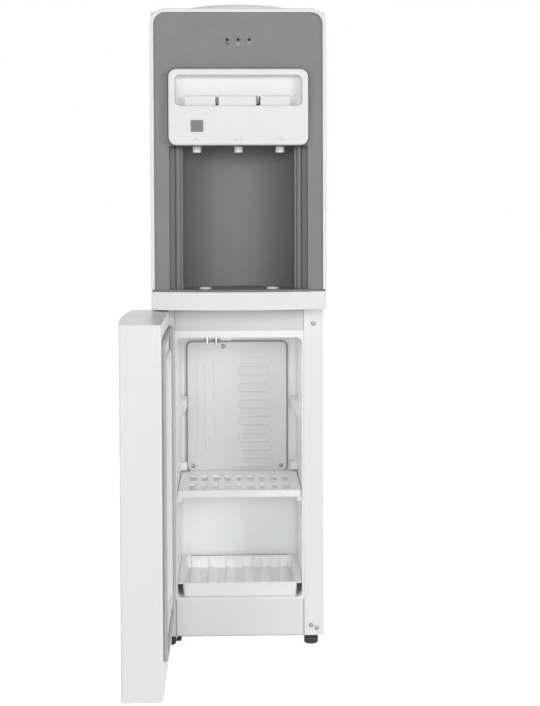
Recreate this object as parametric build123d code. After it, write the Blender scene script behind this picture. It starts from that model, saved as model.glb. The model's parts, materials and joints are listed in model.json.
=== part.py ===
from build123d import *
import math
import os

# Slim floor-standing water dispenser with a refrigerated cabinet below.
# Millimetres. +Z is up, the front faces -Y, X = 0 is the middle of the width.
# The origin lies on the floor, under the middle of the front rim.

# ---- overall sizes -------------------------------------------------------------
WIDTH = 300.0  # over the front rim and the drip apron
DEPTH = 372.0  # front rim to the rear face of the back panel
HEIGHT = 1114.0  # floor to the top of the front rim
FLOOR_GAP = 16.5  # floor to the underside of the base

# ---- clearances ----------------------------------------------------------------
SEAT_GAP = 0.3  # loose piece above its seat
SLIDE_GAP = 0.6  # each side of a piece that slides by hand
RUN_GAP = 0.05  # radial, pin in its hole
PANEL_GAP = 0.2  # each side of a panel let into a frame

# ---- sheet-metal casing --------------------------------------------------------
SHEET = 1.0
CASE_INSET = 1.5  # side panels stand in from the overall width
CABINET_FRONT = 72.0  # front plane of the cabinet frame
STILE_WIDTH = 35.0
REAR_FLANGE = 12.0
VENT_LEFT = -10.0
VENT_RIGHT = 90.0
VENT_HIGH = 7.0
VENT_PITCH = 18.0
VENT_COUNT = 8
BASE_SHEET = 1.5
BASE_LIP = 12.0
CASE_X = WIDTH / 2 - CASE_INSET  # outer face of a side panel
INNER_X = CASE_X - SHEET
STILE_X = CASE_X - STILE_WIDTH  # inner edge of a stile
BACK_IN = DEPTH - SHEET  # inner face of the back panel
BASE_TOP = FLOOR_GAP + BASE_SHEET

# ---- heights of the main levels ------------------------------------------------
APRON_BOTTOM = 602.0
APRON_HEIGHT = 31.0
TRIM_THICK = 4.0  # grey trim on top of the apron
APRON_TOP = APRON_BOTTOM + APRON_HEIGHT
TOWER_BOTTOM = APRON_TOP + TRIM_THICK  # the rim and the fascia start here
DECK_BOTTOM = APRON_BOTTOM + 2.0
DECK_SHEET = 2.0
DECK_TOP = DECK_BOTTOM + DECK_SHEET

# ---- front rim and fascia ------------------------------------------------------
RIM_WALL = 6.5
RIM_DEPTH = 36.0
RIM_CORNER = 26.0
RIM_EDGE = 2.2
FASCIA_SET_BACK = 4.0
FASCIA_THICK = 3.0
FASCIA_BACK = FASCIA_SET_BACK + FASCIA_THICK
COVER_TOP = HEIGHT - 1.0
COVER_SKIRT = 7.0
COVER_WALL = 3.0
COVER_CORNER = 9.0
COVER_BOTTOM = COVER_TOP - COVER_SKIRT

# ---- dispensing alcove ---------------------------------------------------------
ALCOVE_HALF = 118.0
ALCOVE_TOP = HEIGHT - 232.0
ALCOVE_WALL = 2.0
ALCOVE_STEP = 24.0  # depth of the straight front part
BACK_HALF = ALCOVE_HALF - 22.0  # half width of the curved back
BACK_SAG = 85.0  # depth of the curved back
BEAD_RADIUS = 5.0
BEAD_X = ALCOVE_HALF - 14.0
ALCOVE_ROOF = ALCOVE_TOP + ALCOVE_WALL

# ---- drip tray -----------------------------------------------------------------
APRON_CROWN = 22.0  # bow of the apron's front, end to middle
APRON_NOSE = -14.0  # foremost point of the apron
APRON_WALL = 2.5
TRIM_INSET = 1.5
DRIP_HALF = BACK_HALF - 10.0
DRIP_FRONT = APRON_NOSE + 11.5
DRIP_BACK = CABINET_FRONT - 16.0
DRIP_CORNER = 10.0
CUP_WALL = 1.8
CUP_EDGE = 4.0
GRILLE_THICK = 2.5
FINGER_X = DRIP_HALF - 28.3
FINGER_Y = 20.0
FINGER_WIDE = 21.0
FINGER_LONG = 34.0

# ---- tap panel, keys and valves ------------------------------------------------
TAP_HALF = ALCOVE_HALF
TAP_TOP = ALCOVE_TOP + 129.0
TAP_CORNER = 14.0
TAP_PROUD = 18.0  # stands this far in front of the rim
TAP_WALL = 2.5
TAP_EDGE = 4.0
SCOOP_HALF = TAP_HALF - 11.0
SCOOP_BOTTOM = ALCOVE_TOP + 67.0
SCOOP_TOP = TAP_TOP - 11.0
SCOOP_BACK = 5.0
SCOOP_CORNER = 8.0
SCOOP_SOFT = 6.0  # radius round the back of the scoop
SCOOP_EDGE = 2.2
KEY_TOP = SCOOP_BOTTOM + 16.0
KEY_EDGES = {"hot": (-90.6, -38.6), "normal": (-33.4, 30.5), "cold": (37.3, 87.2)}
KEY_THICK = 6.0
KEY_FRONT = -12.5
KEY_SKIRT_THICK = 3.0
KEY_SKIRT = 24.0
KEY_PIVOT_Y = 46.0
KEY_PIVOT_Z = KEY_TOP - 5.0
KEY_BOSS_RADIUS = 4.5
KEY_PIN_RADIUS = 2.0
KEY_PIN_REACH = 1.3
EAR_THICK = 3.0
EAR_SIDE_GAP = 0.6
EAR_TOP = SCOOP_TOP - 18.0
VALVE_X = {"hot": -71.0, "normal": 0.0, "cold": 71.0}
VALVE_Y = 22.0
VALVE_RADIUS = 11.0
VALVE_TOP = ALCOVE_ROOF + 50.0
VALVE_FLANGE_RADIUS = 14.0
VALVE_FLANGE_THICK = 4.0
SPOUT_RADIUS = 7.5
SPOUT_BORE = 4.5
SPOUT_END = ALCOVE_TOP - 11.0
PLUNGER_RADIUS = 3.0
PLUNGER_BOTTOM = VALVE_TOP - 12.0
PLUNGER_HOLE_BOTTOM = PLUNGER_BOTTOM - 5.0
BARB_RADIUS = 4.0
BARB_BORE = 2.5
BARB_Z = ALCOVE_ROOF + 27.0
BARB_REACH = 6.0
LOCK_X = -70.0
LOCK_Z = ALCOVE_TOP + 32.5
LOCK_WIDE = 20.0
LOCK_HIGH = 19.0
LOCK_PROUD = 2.0
LOCK_GAP = 0.35
LOCK_FLANGE = 2.0
LOCK_LIP = 1.5  # the flange reaches this far past the cap
LOCK_GRID = 5
LOCK_GROOVE = 0.7
LOCK_BORDER = 2.0

# ---- status lights -------------------------------------------------------------
LIGHT_PITCH = 18.7
LIGHT_Z = HEIGHT - 52.4
LIGHT_RADIUS = 1.6
LIGHT_FLANGE = 2.6
LIGHT_PROUD = 0.8

# ---- bottle seat ---------------------------------------------------------------
COLD_RADIUS = 80.0  # cold tank under the seat
SEAT_Y = COLD_RADIUS + 70.0  # clears the back of the keys and the tap panel
WELL_RADIUS = 98.0  # hole in the top cover
SEAT_RADIUS = WELL_RADIUS + 7.0
SEAT_TOP = HEIGHT + 13.0
SEAT_WALL = 3.0
THROAT_RADIUS = 30.0
THROAT_Z = HEIGHT - 44.0
FEED_RADIUS = 14.0
FEED_WALL = 2.0
FEED_TOP = THROAT_Z + 40.0
FEED_BOTTOM = THROAT_Z - 30.0

# ---- tanks ---------------------------------------------------------------------
COLD_BOTTOM = ALCOVE_ROOF + 14.0
COLD_TOP = HEIGHT - 54.0
COLD_WALL = 1.2
COIL_WIRE = 3.0  # radius of the cooling coil's tube
COIL_TURNS = 7
COIL_BOTTOM = COLD_BOTTOM + 34.0
JACKET_GAP = 0.7
COLD_JACKET_HALF = COLD_RADIUS + 19.0
COLD_JACKET_FRONT = SEAT_Y - COLD_RADIUS - 17.0
COLD_JACKET_BACK = SEAT_Y + COLD_RADIUS + 17.0
COLD_JACKET_CORNER = 14.0
SHELF_SHEET = 1.5
HOT_Y = 235.0
HOT_RADIUS = 55.0
HOT_BOTTOM = DECK_TOP + 34.0
HOT_TOP = HOT_BOTTOM + 180.0
HOT_WALL = 1.2
HOT_JACKET_RADIUS = HOT_RADIUS + 21.0
HOT_JACKET_TOP = HOT_TOP + 30.0
FEED_PIPE_RADIUS = 5.0
FEED_PIPE_Y = HOT_Y - 35.0
HOSE_RADIUS = 6.0
HOSE_BEND = 20.0
NIPPLE_RADIUS = 4.0
NIPPLE_REACH = 8.0
HOT_NIPPLE_Z = HOT_TOP - 20.0
HOT_NIPPLE_X = -HOT_JACKET_RADIUS - 10.0
HOSE_RUN_X = 21.5 - INNER_X
DRAIN_RADIUS = 5.0
DRAIN_X = INNER_X - 22.5
DRAIN_Z = HOT_BOTTOM + 15.0
DRAIN_END = DEPTH + 8.0
CAP_RADIUS = 9.0

# ---- refrigerated cabinet ------------------------------------------------------
OPEN_HALF = 110.5
OPEN_BOTTOM = FLOOR_GAP + 69.5
OPEN_TOP = APRON_BOTTOM - 54.5
LINER_WALL = 3.0
LINER_BACK = DEPTH - 104.0
LINER_FLANGE = 2.0
LINER_BAND_TOP = OPEN_TOP + 12.5  # upper edge of the liner's front flange
LINER_CORNER = 9.0
FOAM_BACK = LINER_BACK + 17.0
KICK_THICK = 2.5
KICK_REBATE = 1.0  # width and depth of the step at its edges
RAIL_THICK = 4.0
UPPER_LEDGE_Z = 418.0
UPPER_LEDGE_HIGH = 20.0
LEDGE_THICK = 8.0
LEDGE_DEEP = 12.0
LEDGE_TAPER = 40.0
BOSS_RADIUS = 6.0
SHELF_FRONT = CABINET_FRONT + 6.0
SHELF_TOP = 275.0
SHELF_LIP = 12.0
SHELF_THICK = 3.0
SHELF_SIDE_GAP = 1.0
SHELF_RAIL = 8.0
STOP_HIGH = 14.0
SLOT_COLUMNS = 9
SLOT_SIDE = 26.0  # liner wall to the middle of the outer slots
SLOT_WIDE = 11.5
SLOT_LONG = 46.0
SLOT_ROWS = 2
SLOT_START = 33.5  # shelf front to the middle of the first row
SLOT_ROW_PITCH = 74.0
SLOT_CORNER = 3.0
TRAY_FRONT = CABINET_FRONT + 4.0
TRAY_BACK = LINER_BACK - 6.0
TRAY_TOP_HALF = OPEN_HALF - 8.0
TRAY_HEIGHT = 25.0
TRAY_WALL = 2.0
TRAY_DRAFT = 6.8
TRAY_WING = 2.0  # thickness of the side wings
TRAY_RIBS = 6
TRAY_CORNER = 5.0
RIB_WIDE = 16.0
RIB_HIGH = 2.2
PLATE_LEFT = 10.5 - OPEN_HALF
PLATE_RIGHT = OPEN_HALF - 17.5
PLATE_BOTTOM = SHELF_TOP - 4.0
PLATE_TOP = OPEN_TOP - 24.5
PLATE_THICK = 1.6
PLATE_STAND_OFF = 5.0
PLATE_CORNER = 12.0
CHANNEL_WIDE = 4.0
CHANNEL_HIGH = 1.4
CHANNEL_PITCH = 16.0
CHANNEL_COUNT = 14
UPRIGHT_CHANNELS = 3
PLATE_SCREW_INSET = 13.0
PIPE_RADIUS = 2.5
PIPE_PITCH = 17.0
PIPE_TO_SCREW = 13.5  # second pipe to the plate's upper screw
PIPE_RISE = 12.0  # the pipes turn back this far above the plate
CLIP_WIDE = 20.0
CLIP_HIGH = 8.0
SCREW_HEAD = 4.2
SCREW_HEAD_THICK = 2.2
SCREW_SHANK = 1.9
SCREW_LONG = 9.0
SCREW_SLOT = 1.0

# ---- door, shut in these sizes -------------------------------------------------
DOOR_THICK = 64.0  # at its edges
DOOR_CROWN = 8.0
DOOR_HALF = CASE_X + 0.5
DOOR_BOTTOM = FLOOR_GAP - 2.0
DOOR_TOP = APRON_BOTTOM - 3.0
DOOR_INNER = CABINET_FRONT - 7.0  # Y of the inner face
DOOR_FACE = DOOR_INNER - DOOR_THICK  # Y of the outer face at its edges
DOOR_SKIN = 1.2
DOOR_CAP = 3.0
DOOR_LINER = 2.5
DOOR_STEP = 5.0  # raised field of the inner liner
DOOR_HINGE_CORNER = 10.0
DOOR_FREE_CORNER = 4.0
FIELD_INSET = 12.0  # raised field to the opening's edge
FIELD_RIM = 14.0
GASKET_OUT = STILE_X + 11.5
GASKET_WIDE = 11.0
GASKET_TOP = OPEN_TOP + 27.5
GASKET_BOTTOM = OPEN_BOTTOM - 20.0
GASKET_GAP = 0.5
HINGE_X = 10.0 - DOOR_HALF
HINGE_Y = DOOR_INNER - 18.0
HINGE_PIN = 4.0
HINGE_PIN_LONG = 14.0
HINGE_PLATE = 3.0
HINGE_GAP = 0.5
HINGE_ARM = DOOR_HALF - 114.0
HINGE_NOSE = 18.0  # pin to the inner edge of the bracket's nose
HINGE_STEP = 7.0  # the bracket stands this far out under the front
HINGE_TAB = 42.0
HINGE_EDGE = 7.0  # pin to the outer edge of its bracket
HINGE_REACH = 26.0
DOOR_REST_ANGLE = 90.0  # the door stands open at rest

# ---- feet ----------------------------------------------------------------------
FOOT_RADIUS = 12.5
FOOT_PAD = 13.0
FOOT_STUD = 4.0
FOOT_STUD_LONG = 16.0
FOOT_X = CASE_X - 22.0
FOOT_FRONT_Y = CABINET_FRONT + 13.0
FOOT_REAR_Y = DEPTH - 20.0
FOOT_EDGE = 3.0

# ---- cooling unit and rear fittings --------------------------------------------
COMP_X = 0.0
COMP_Y = DEPTH - 44.0
COMP_LONG = 138.0
COMP_DEEP = 78.0
COMP_BOTTOM = FLOOR_GAP + 23.5
COMP_HIGH = 122.0
COMP_FOOT_X = 84.0
COMP_FOOT_Y = 24.0
GROMMET_RADIUS = 8.0
STUB_X = 40.0  # delivery tube to the condenser
SUCTION_X = 20.0
SEAM_PROUD = 1.5
LEG_THICK = 4.0
TERMINAL_DEEP = 22.0
TERMINAL_HALF = 24.0
TERMINAL_RISE = 34.0
TERMINAL_HIGH = 52.0
SERVICE_X = -95.0
SERVICE_Z = 262.0
SERVICE_WIDE = 78.0
SERVICE_HIGH = 66.0
SERVICE_THICK = 4.0
SERVICE_RIM = 6.0  # the plate covers the edge of its opening by this
COND_Y = DEPTH + 10.0
COND_TUBE = 2.4
COND_WIRE = 0.9
COND_HALF = 104.0
COND_BOTTOM = SERVICE_Z + 78.0
COND_RUNS = 13
COND_PITCH = 50.0
COND_WIRES = 24
COND_STUD = 4.0
COND_STUD_INSET = 20.0
COND_BEND = 16.0
COND_WIRE_OVER = 12.0  # the wires reach this far past the outer runs
GLAND_DROP = 20.0
GLAND_RADIUS = 9.0
GLAND_BORE = 4.0
GLAND_PROUD = 5.0
WELL_RISE = 12.0
WELL_DEEP = 16.0
WELL_WALL = 2.5
ROCKER_WIDE = 12.0
ROCKER_HIGH = 21.0
ROCKER_PITCH = 28.0
ROCKER_TILT = 8.0
ROCKER_SWING = 1.3
ROCKER_PIN = 1.2
ROCKER_GAP = 0.5

# ---- levels worked out from the sizes above ------------------------------------
SHELF_LEVEL = ALCOVE_ROOF + PANEL_GAP + SHELF_SHEET  # top of the tank shelf
COMP_TOP = COMP_BOTTOM + COMP_HIGH
COND_INLET_X = COMP_X + STUB_X
COND_INLET_Z = COMP_TOP + 40.0
COND_JOINT_Z = COND_INLET_Z - 24.0
LINER_HALF = OPEN_HALF + LINER_WALL
LINER_LOW = OPEN_BOTTOM - LINER_WALL
LINER_HIGH = OPEN_TOP + LINER_WALL
PLATE_FRONT = LINER_BACK - PLATE_STAND_OFF - PLATE_THICK
PLATE_BACK = PLATE_FRONT + PLATE_THICK
PIPE_Z = PLATE_TOP + PIPE_RISE
ROCKER_Y = DEPTH - 2.0
ROCKER_Z = SERVICE_Z + WELL_RISE


# ---- shared shapes -------------------------------------------------------------
def block(x0, x1, y0, y1, z0, z1):
    """A box between two corners."""
    return Pos(x0, y0, z0) * Box(x1 - x0, y1 - y0, z1 - z0, align=(Align.MIN,) * 3)


def upright(x, y, z0, z1, radius):
    """A cylinder along Z."""
    return Pos(x, y, (z0 + z1) / 2) * Cylinder(radius, z1 - z0)


def along_x(x0, x1, y, z, radius):
    """A cylinder along X."""
    return Pos((x0 + x1) / 2, y, z) * Rot(0, 90, 0) * Cylinder(radius, x1 - x0)


def along_y(x, y0, y1, z, radius):
    """A cylinder along Y."""
    return Pos(x, (y0 + y1) / 2, z) * Rot(90, 0, 0) * Cylinder(radius, y1 - y0)


def soft_block(x0, x1, y0, y1, z0, z1, radius, axis):
    """A box whose four edges along one axis are rounded."""
    solid = block(x0, x1, y0, y1, z0, z1)
    return fillet(solid.edges().filter_by(axis), radius)


def plate_up(outline, z0, z1):
    """A flat XY outline raised between two heights."""
    return Pos(0, 0, z0) * extrude(outline, z1 - z0)


def turned(points, x, y):
    """A profile of (radius, z) points turned about a vertical axis."""
    face = make_face(Polyline(*[(r, 0, z) for r, z in points], close=True))
    return Pos(x, y, 0) * revolve(face, Axis.Z)


def tube(points, radius, bend, bore=0.0):
    """A round tube along a route of straight runs joined by arcs."""
    route = FilletPolyline(*points, radius=bend)
    section = Circle(radius) if bore == 0 else Circle(radius) - Circle(bore)
    start = Plane(origin=route @ 0, z_dir=route % 0)
    return sweep(start * section, path=route)


# ---- casing --------------------------------------------------------------------
def side_panel(side):
    """Folded sheet side with a stile at the front and a flange at the back."""
    skin = block(INNER_X, CASE_X, CABINET_FRONT, DEPTH, FLOOR_GAP, COVER_BOTTOM)
    skin += block(INNER_X, CASE_X, RIM_DEPTH, CABINET_FRONT, TOWER_BOTTOM, COVER_BOTTOM)
    stile_top = APRON_BOTTOM - HINGE_GAP
    stile_back = CABINET_FRONT + SHEET
    skin += block(STILE_X, CASE_X, CABINET_FRONT, stile_back, FLOOR_GAP, stile_top)
    skin += block(CASE_X - REAR_FLANGE, CASE_X, BACK_IN, DEPTH, FLOOR_GAP, COVER_BOTTOM)
    if side < 0:
        return mirror(skin, Plane.YZ)
    for x, z in stile_screws():
        skin -= along_y(x, CABINET_FRONT - 1, stile_back + 1, z, SCREW_SHANK + RUN_GAP)
    return skin


def back_panel():
    """Rear sheet with vents, a service opening, pipe holes and condenser studs."""
    half = CASE_X - REAR_FLANGE
    front, back = BACK_IN - 1, DEPTH + 1
    sheet = block(-half, half, BACK_IN, DEPTH, FLOOR_GAP, COVER_BOTTOM)
    first = COMP_BOTTOM + VENT_PITCH
    for index in range(VENT_COUNT):
        z = first + VENT_PITCH * index
        sheet -= block(VENT_LEFT, VENT_RIGHT, front, back, z, z + VENT_HIGH)
    reach_x = SERVICE_WIDE / 2 - SERVICE_RIM
    reach_z = SERVICE_HIGH / 2 - SERVICE_RIM
    low, high = SERVICE_Z - reach_z, SERVICE_Z + reach_z
    sheet -= block(SERVICE_X - reach_x, SERVICE_X + reach_x, front, back, low, high)
    sheet -= along_y(DRAIN_X, front, back, DRAIN_Z, DRAIN_RADIUS + 1)
    sheet -= along_y(COND_INLET_X, front, back, COND_INLET_Z, COND_TUBE + 2)
    stud_x = COND_HALF - COND_STUD_INSET
    for x in (-stud_x, stud_x):
        for run in (1, COND_RUNS - 2):
            z = COND_BOTTOM + run * COND_PITCH
            sheet += along_y(x, DEPTH, COND_Y - COND_TUBE - PANEL_GAP, z, COND_STUD)
    return sheet


def base_plate():
    """Steel floor tray with lips, drilled for the feet."""
    front = CABINET_FRONT + KICK_THICK
    tray = block(-INNER_X, INNER_X, front, BACK_IN, FLOOR_GAP, BASE_TOP)
    lip_z = BASE_TOP + BASE_LIP
    tray += block(-INNER_X, INNER_X, BACK_IN - BASE_SHEET, BACK_IN, BASE_TOP, lip_z)
    for x in (-FOOT_X, FOOT_X):
        for y in (FOOT_FRONT_Y, FOOT_REAR_Y):
            tray -= upright(x, y, FLOOR_GAP - 1, BASE_TOP + 1, FOOT_STUD + RUN_GAP)
    for x in (-COMP_FOOT_X, COMP_FOOT_X):
        for y in (COMP_Y - COMP_FOOT_Y, COMP_Y + COMP_FOOT_Y):
            tray -= upright(x, y, FLOOR_GAP - 1, BASE_TOP + 1, GROMMET_RADIUS / 2)
    return tray


def deck_plate():
    """Sheet floor of the tower, above the foamed cabinet."""
    front = CABINET_FRONT + SHEET
    return block(-INNER_X, INNER_X, front, BACK_IN, DECK_BOTTOM, DECK_TOP)


def tank_shelf():
    """Sheet shelf under the cold tank's jacket, open where the hot hose passes."""
    front = ALCOVE_STEP + BACK_SAG + 2 * ALCOVE_WALL
    shelf = block(-INNER_X, INNER_X, front, BACK_IN, ALCOVE_ROOF + PANEL_GAP, SHELF_LEVEL)
    room = HOSE_RADIUS / 2
    left, right = -INNER_X + 2 * room, HOSE_RUN_X + HOSE_RADIUS + room
    shelf -= block(left, right, front - 1, HOT_Y + HOSE_BEND, ALCOVE_TOP, SHELF_LEVEL + 1)
    shelf -= upright(0, FEED_PIPE_Y, ALCOVE_TOP, SHELF_LEVEL + 1, FEED_PIPE_RADIUS + 1)
    return shelf


def top_cover():
    """Moulded lid with the round opening of the bottle well."""
    half = WIDTH / 2
    lid = block(-half, half, RIM_DEPTH, DEPTH, COVER_BOTTOM, COVER_TOP)
    rear = lid.edges().filter_by(Axis.Z).sort_by(Axis.Y)[-2:]
    lid = fillet(rear, COVER_CORNER)
    lid = fillet(lid.faces().sort_by(Axis.Z)[-1].edges().sort_by(Axis.Y)[-3:], COVER_WALL / 2)
    inside = CASE_X - COVER_WALL
    front, back = RIM_DEPTH + COVER_WALL, DEPTH - COVER_WALL
    lid -= block(-inside, inside, front, back, COVER_BOTTOM - 1, COVER_TOP - COVER_WALL)
    return lid - upright(0, SEAT_Y, COVER_BOTTOM - 1, COVER_TOP + 1, WELL_RADIUS)


# ---- tower front ---------------------------------------------------------------
def arched(half, bottom, top, corner, y0, y1):
    """A block with square lower and rounded upper corners, facing the front."""
    solid = block(-half, half, y0, y1, bottom, top)
    upper = solid.edges().filter_by(Axis.Y).sort_by(Axis.Z)[-2:]
    return fillet(upper, corner)


def front_rim():
    """White surround of the fascia."""
    outer = arched(WIDTH / 2, TOWER_BOTTOM, HEIGHT, RIM_CORNER, 0, RIM_DEPTH)
    lead = outer.faces().sort_by(Axis.Y)[0].edges().sort_by(Axis.Z)[1:]
    outer = fillet(lead, RIM_EDGE)
    half = WIDTH / 2 - RIM_WALL
    corner = RIM_CORNER - RIM_WALL
    inner = arched(half, TOWER_BOTTOM - 1, HEIGHT - RIM_WALL, corner, -1, RIM_DEPTH + 1)
    return outer - inner


def fascia():
    """Grey front plate, open over the alcove and behind the tap panel."""
    half = WIDTH / 2 - RIM_WALL - PANEL_GAP
    top = HEIGHT - RIM_WALL - PANEL_GAP
    corner = RIM_CORNER - RIM_WALL - PANEL_GAP
    plate = arched(half, TOWER_BOTTOM, top, corner, FASCIA_SET_BACK, FASCIA_BACK)
    front = FASCIA_SET_BACK - 1
    back = FASCIA_BACK + 1
    plate -= block(-ALCOVE_HALF, ALCOVE_HALF, front, back, TOWER_BOTTOM - 1, ALCOVE_TOP)
    half = SCOOP_HALF + TAP_WALL + PANEL_GAP
    low = ALCOVE_ROOF + 2 * VALVE_FLANGE_THICK
    plate -= block(-half, half, front, back, low, SCOOP_TOP + TAP_WALL + PANEL_GAP)
    for x in (-LIGHT_PITCH, 0, LIGHT_PITCH):
        plate -= along_y(x, front, back, LIGHT_Z, LIGHT_RADIUS + RUN_GAP)
    return plate


def status_lights():
    """Three small lenses pushed in from behind the fascia."""
    lenses = []
    for x in (-LIGHT_PITCH, 0, LIGHT_PITCH):
        back = FASCIA_BACK + LIGHT_RADIUS
        stem = along_y(x, FASCIA_SET_BACK - LIGHT_PROUD, back, LIGHT_Z, LIGHT_RADIUS)
        stem = fillet(stem.edges().sort_by(Axis.Y)[0], LIGHT_PROUD * 0.9)
        lenses.append(stem + along_y(x, FASCIA_BACK, back, LIGHT_Z, LIGHT_FLANGE))
    return Compound(lenses)


def alcove_outline(grow):
    """Plan of the alcove: a straight front part and a half-oval back."""
    straight = Rectangle(2 * (ALCOVE_HALF + grow), ALCOVE_STEP + 2 * grow)
    front = Pos(0, ALCOVE_STEP / 2) * straight
    oval = Pos(0, ALCOVE_STEP) * Ellipse(BACK_HALF + grow, BACK_SAG + grow)
    behind = Pos(0, ALCOVE_STEP + BACK_SAG) * Rectangle(3 * ALCOVE_HALF, 2 * BACK_SAG + grow)
    return front + (oval & behind)


def alcove():
    """Grey recess for cups, in one moulding with the trim around the drip tray."""
    behind = Pos(0, FASCIA_BACK + ALCOVE_HALF) * Rectangle(4 * ALCOVE_HALF, 2 * ALCOVE_HALF)
    shell = plate_up(alcove_outline(ALCOVE_WALL) & behind, TOWER_BOTTOM, ALCOVE_ROOF)
    shell -= plate_up(alcove_outline(0), TOWER_BOTTOM - 1, ALCOVE_TOP)
    for x in (-BEAD_X, BEAD_X):
        shell += upright(x, ALCOVE_STEP, TOWER_BOTTOM, ALCOVE_TOP, BEAD_RADIUS)
    for x in VALVE_X.values():
        shell -= upright(x, VALVE_Y, ALCOVE_TOP - 1, ALCOVE_ROOF + 1, SPOUT_RADIUS + 1)
    floor = alcove_outline(ALCOVE_WALL) + apron_plan(TRIM_INSET, CABINET_FRONT - PANEL_GAP)
    trim = plate_up(floor, APRON_TOP, TOWER_BOTTOM)
    return shell + trim - drip_block(PANEL_GAP, APRON_TOP - 1, TOWER_BOTTOM + 1)


# ---- drip tray -----------------------------------------------------------------
def apron_plan(inset, back):
    """Plan of the bowed apron, up to the plane Y = back."""
    half = WIDTH / 2 - inset
    nose = APRON_NOSE + inset
    side = nose + APRON_CROWN
    bow = ThreePointArc((-half, side), (0, nose), (half, side))
    rest = Polyline((half, side), (half, back), (-half, back), (-half, side))
    return make_face([bow, rest])


def drip_block(grow, z0, z1):
    """The rounded block that the cup and its grille fill."""
    half = DRIP_HALF + grow
    front, back = DRIP_FRONT - grow, DRIP_BACK + grow
    return soft_block(-half, half, front, back, z0, z1, DRIP_CORNER, Axis.Z)


def drip_apron():
    """White bowed front of the drip tray, open on top."""
    back = CABINET_FRONT - PANEL_GAP
    body = plate_up(apron_plan(0, back), APRON_BOTTOM, APRON_TOP)
    body = fillet(body.edges().filter_by(Axis.Z).sort_by(Axis.Y)[:2], 2 * APRON_WALL)
    body = fillet(body.faces().sort_by(Axis.Z)[0].edges().sort_by(Axis.Y)[:3], TRIM_INSET)
    inside = apron_plan(APRON_WALL, back - APRON_WALL)
    return body - plate_up(inside, APRON_BOTTOM + APRON_WALL, APRON_TOP + 1)


def drip_cup():
    """White catch cup that lifts out."""
    floor = APRON_BOTTOM + APRON_WALL + SEAT_GAP
    rim = TOWER_BOTTOM - GRILLE_THICK - SEAT_GAP
    cup = drip_block(-SLIDE_GAP, floor, rim)
    cup = fillet(cup.faces().sort_by(Axis.Z)[0].edges(), CUP_EDGE)
    hollow = drip_block(-SLIDE_GAP - CUP_WALL, floor + CUP_WALL, rim + 1)
    return cup - hollow


def drip_grille():
    """Grey cover of the cup with two long finger holes."""
    cover = drip_block(-SLIDE_GAP, TOWER_BOTTOM - GRILLE_THICK, TOWER_BOTTOM)
    cover = fillet(cover.faces().sort_by(Axis.Z)[-1].edges(), GRILLE_THICK / 4)
    for x in (-FINGER_X, FINGER_X):
        hole = Pos(x, FINGER_Y) * SlotOverall(FINGER_LONG, FINGER_WIDE, rotation=90)
        cover -= plate_up(hole, TOWER_BOTTOM - GRILLE_THICK - 1, TOWER_BOTTOM + 1)
    return cover


# ---- tap panel, keys, valves ---------------------------------------------------
def ear_places():
    """X of the near and far face of each pivot ear, from left to right."""
    hot, normal, cold = KEY_EDGES["hot"], KEY_EDGES["normal"], KEY_EDGES["cold"]
    middles = [(hot[1] + normal[0]) / 2, (normal[1] + cold[0]) / 2]
    ears = [(hot[0] - EAR_SIDE_GAP - EAR_THICK, hot[0] - EAR_SIDE_GAP)]
    ears += [(x - EAR_THICK / 2, x + EAR_THICK / 2) for x in middles]
    ears.append((cold[1] + EAR_SIDE_GAP, cold[1] + EAR_SIDE_GAP + EAR_THICK))
    return ears


def tap_panel():
    """White bulged cover with the finger scoop, the lock's hole and the key ears."""
    front, back = -TAP_PROUD, FASCIA_SET_BACK
    half, low, high = TAP_HALF, ALCOVE_TOP, TAP_TOP
    shell = soft_block(-half, half, front, back, low, high, TAP_CORNER, Axis.Y)
    shell = fillet(shell.faces().sort_by(Axis.Y)[0].edges(), TAP_EDGE)
    skin = front + TAP_WALL
    half, low, high = half - TAP_WALL, low + TAP_WALL, high - TAP_WALL
    shell -= soft_block(-half, half, skin, back + 1, low, high, TAP_CORNER - TAP_WALL, Axis.Y)
    half = SCOOP_HALF + TAP_WALL
    wall_back = SCOOP_BACK + TAP_WALL
    wall_low, wall_high = SCOOP_BOTTOM - TAP_WALL, SCOOP_TOP + TAP_WALL
    corner = SCOOP_CORNER + TAP_WALL
    shell += soft_block(-half, half, front + 1, wall_back, wall_low, wall_high, corner, Axis.Y)
    half, low, high = SCOOP_HALF, SCOOP_BOTTOM, SCOOP_TOP
    pocket = soft_block(-half, half, front - 1, SCOOP_BACK, low, high, SCOOP_CORNER, Axis.Y)
    shell -= fillet(pocket.faces().sort_by(Axis.Y)[-1].edges(), SCOOP_SOFT)
    rim = shell.edges().filter_by_position(Axis.Y, front, front)
    rim = rim.filter_by_position(Axis.Z, low, high).filter_by_position(Axis.X, -half, half)
    shell = fillet(rim, SCOOP_EDGE)
    ears = ear_places()
    slot_high = KEY_TOP + FASCIA_THICK
    shell -= block(ears[0][1], ears[-1][0], skin, wall_back + 1, wall_low - 1, slot_high)
    shell -= lock_block(LOCK_GAP, front - 1, skin + 1)
    ear_back = KEY_PIVOT_Y + KEY_BOSS_RADIUS
    ear_low = KEY_PIVOT_Z - KEY_BOSS_RADIUS - KEY_PIN_RADIUS
    hole = KEY_PIN_RADIUS + RUN_GAP
    for x0, x1 in ears:
        shell += block(x0, x1, SCOOP_BACK, ear_back, ear_low, EAR_TOP)
        shell -= along_x(x0 - 1, x1 + 1, KEY_PIVOT_Y, KEY_PIVOT_Z, hole)
    return shell


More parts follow.
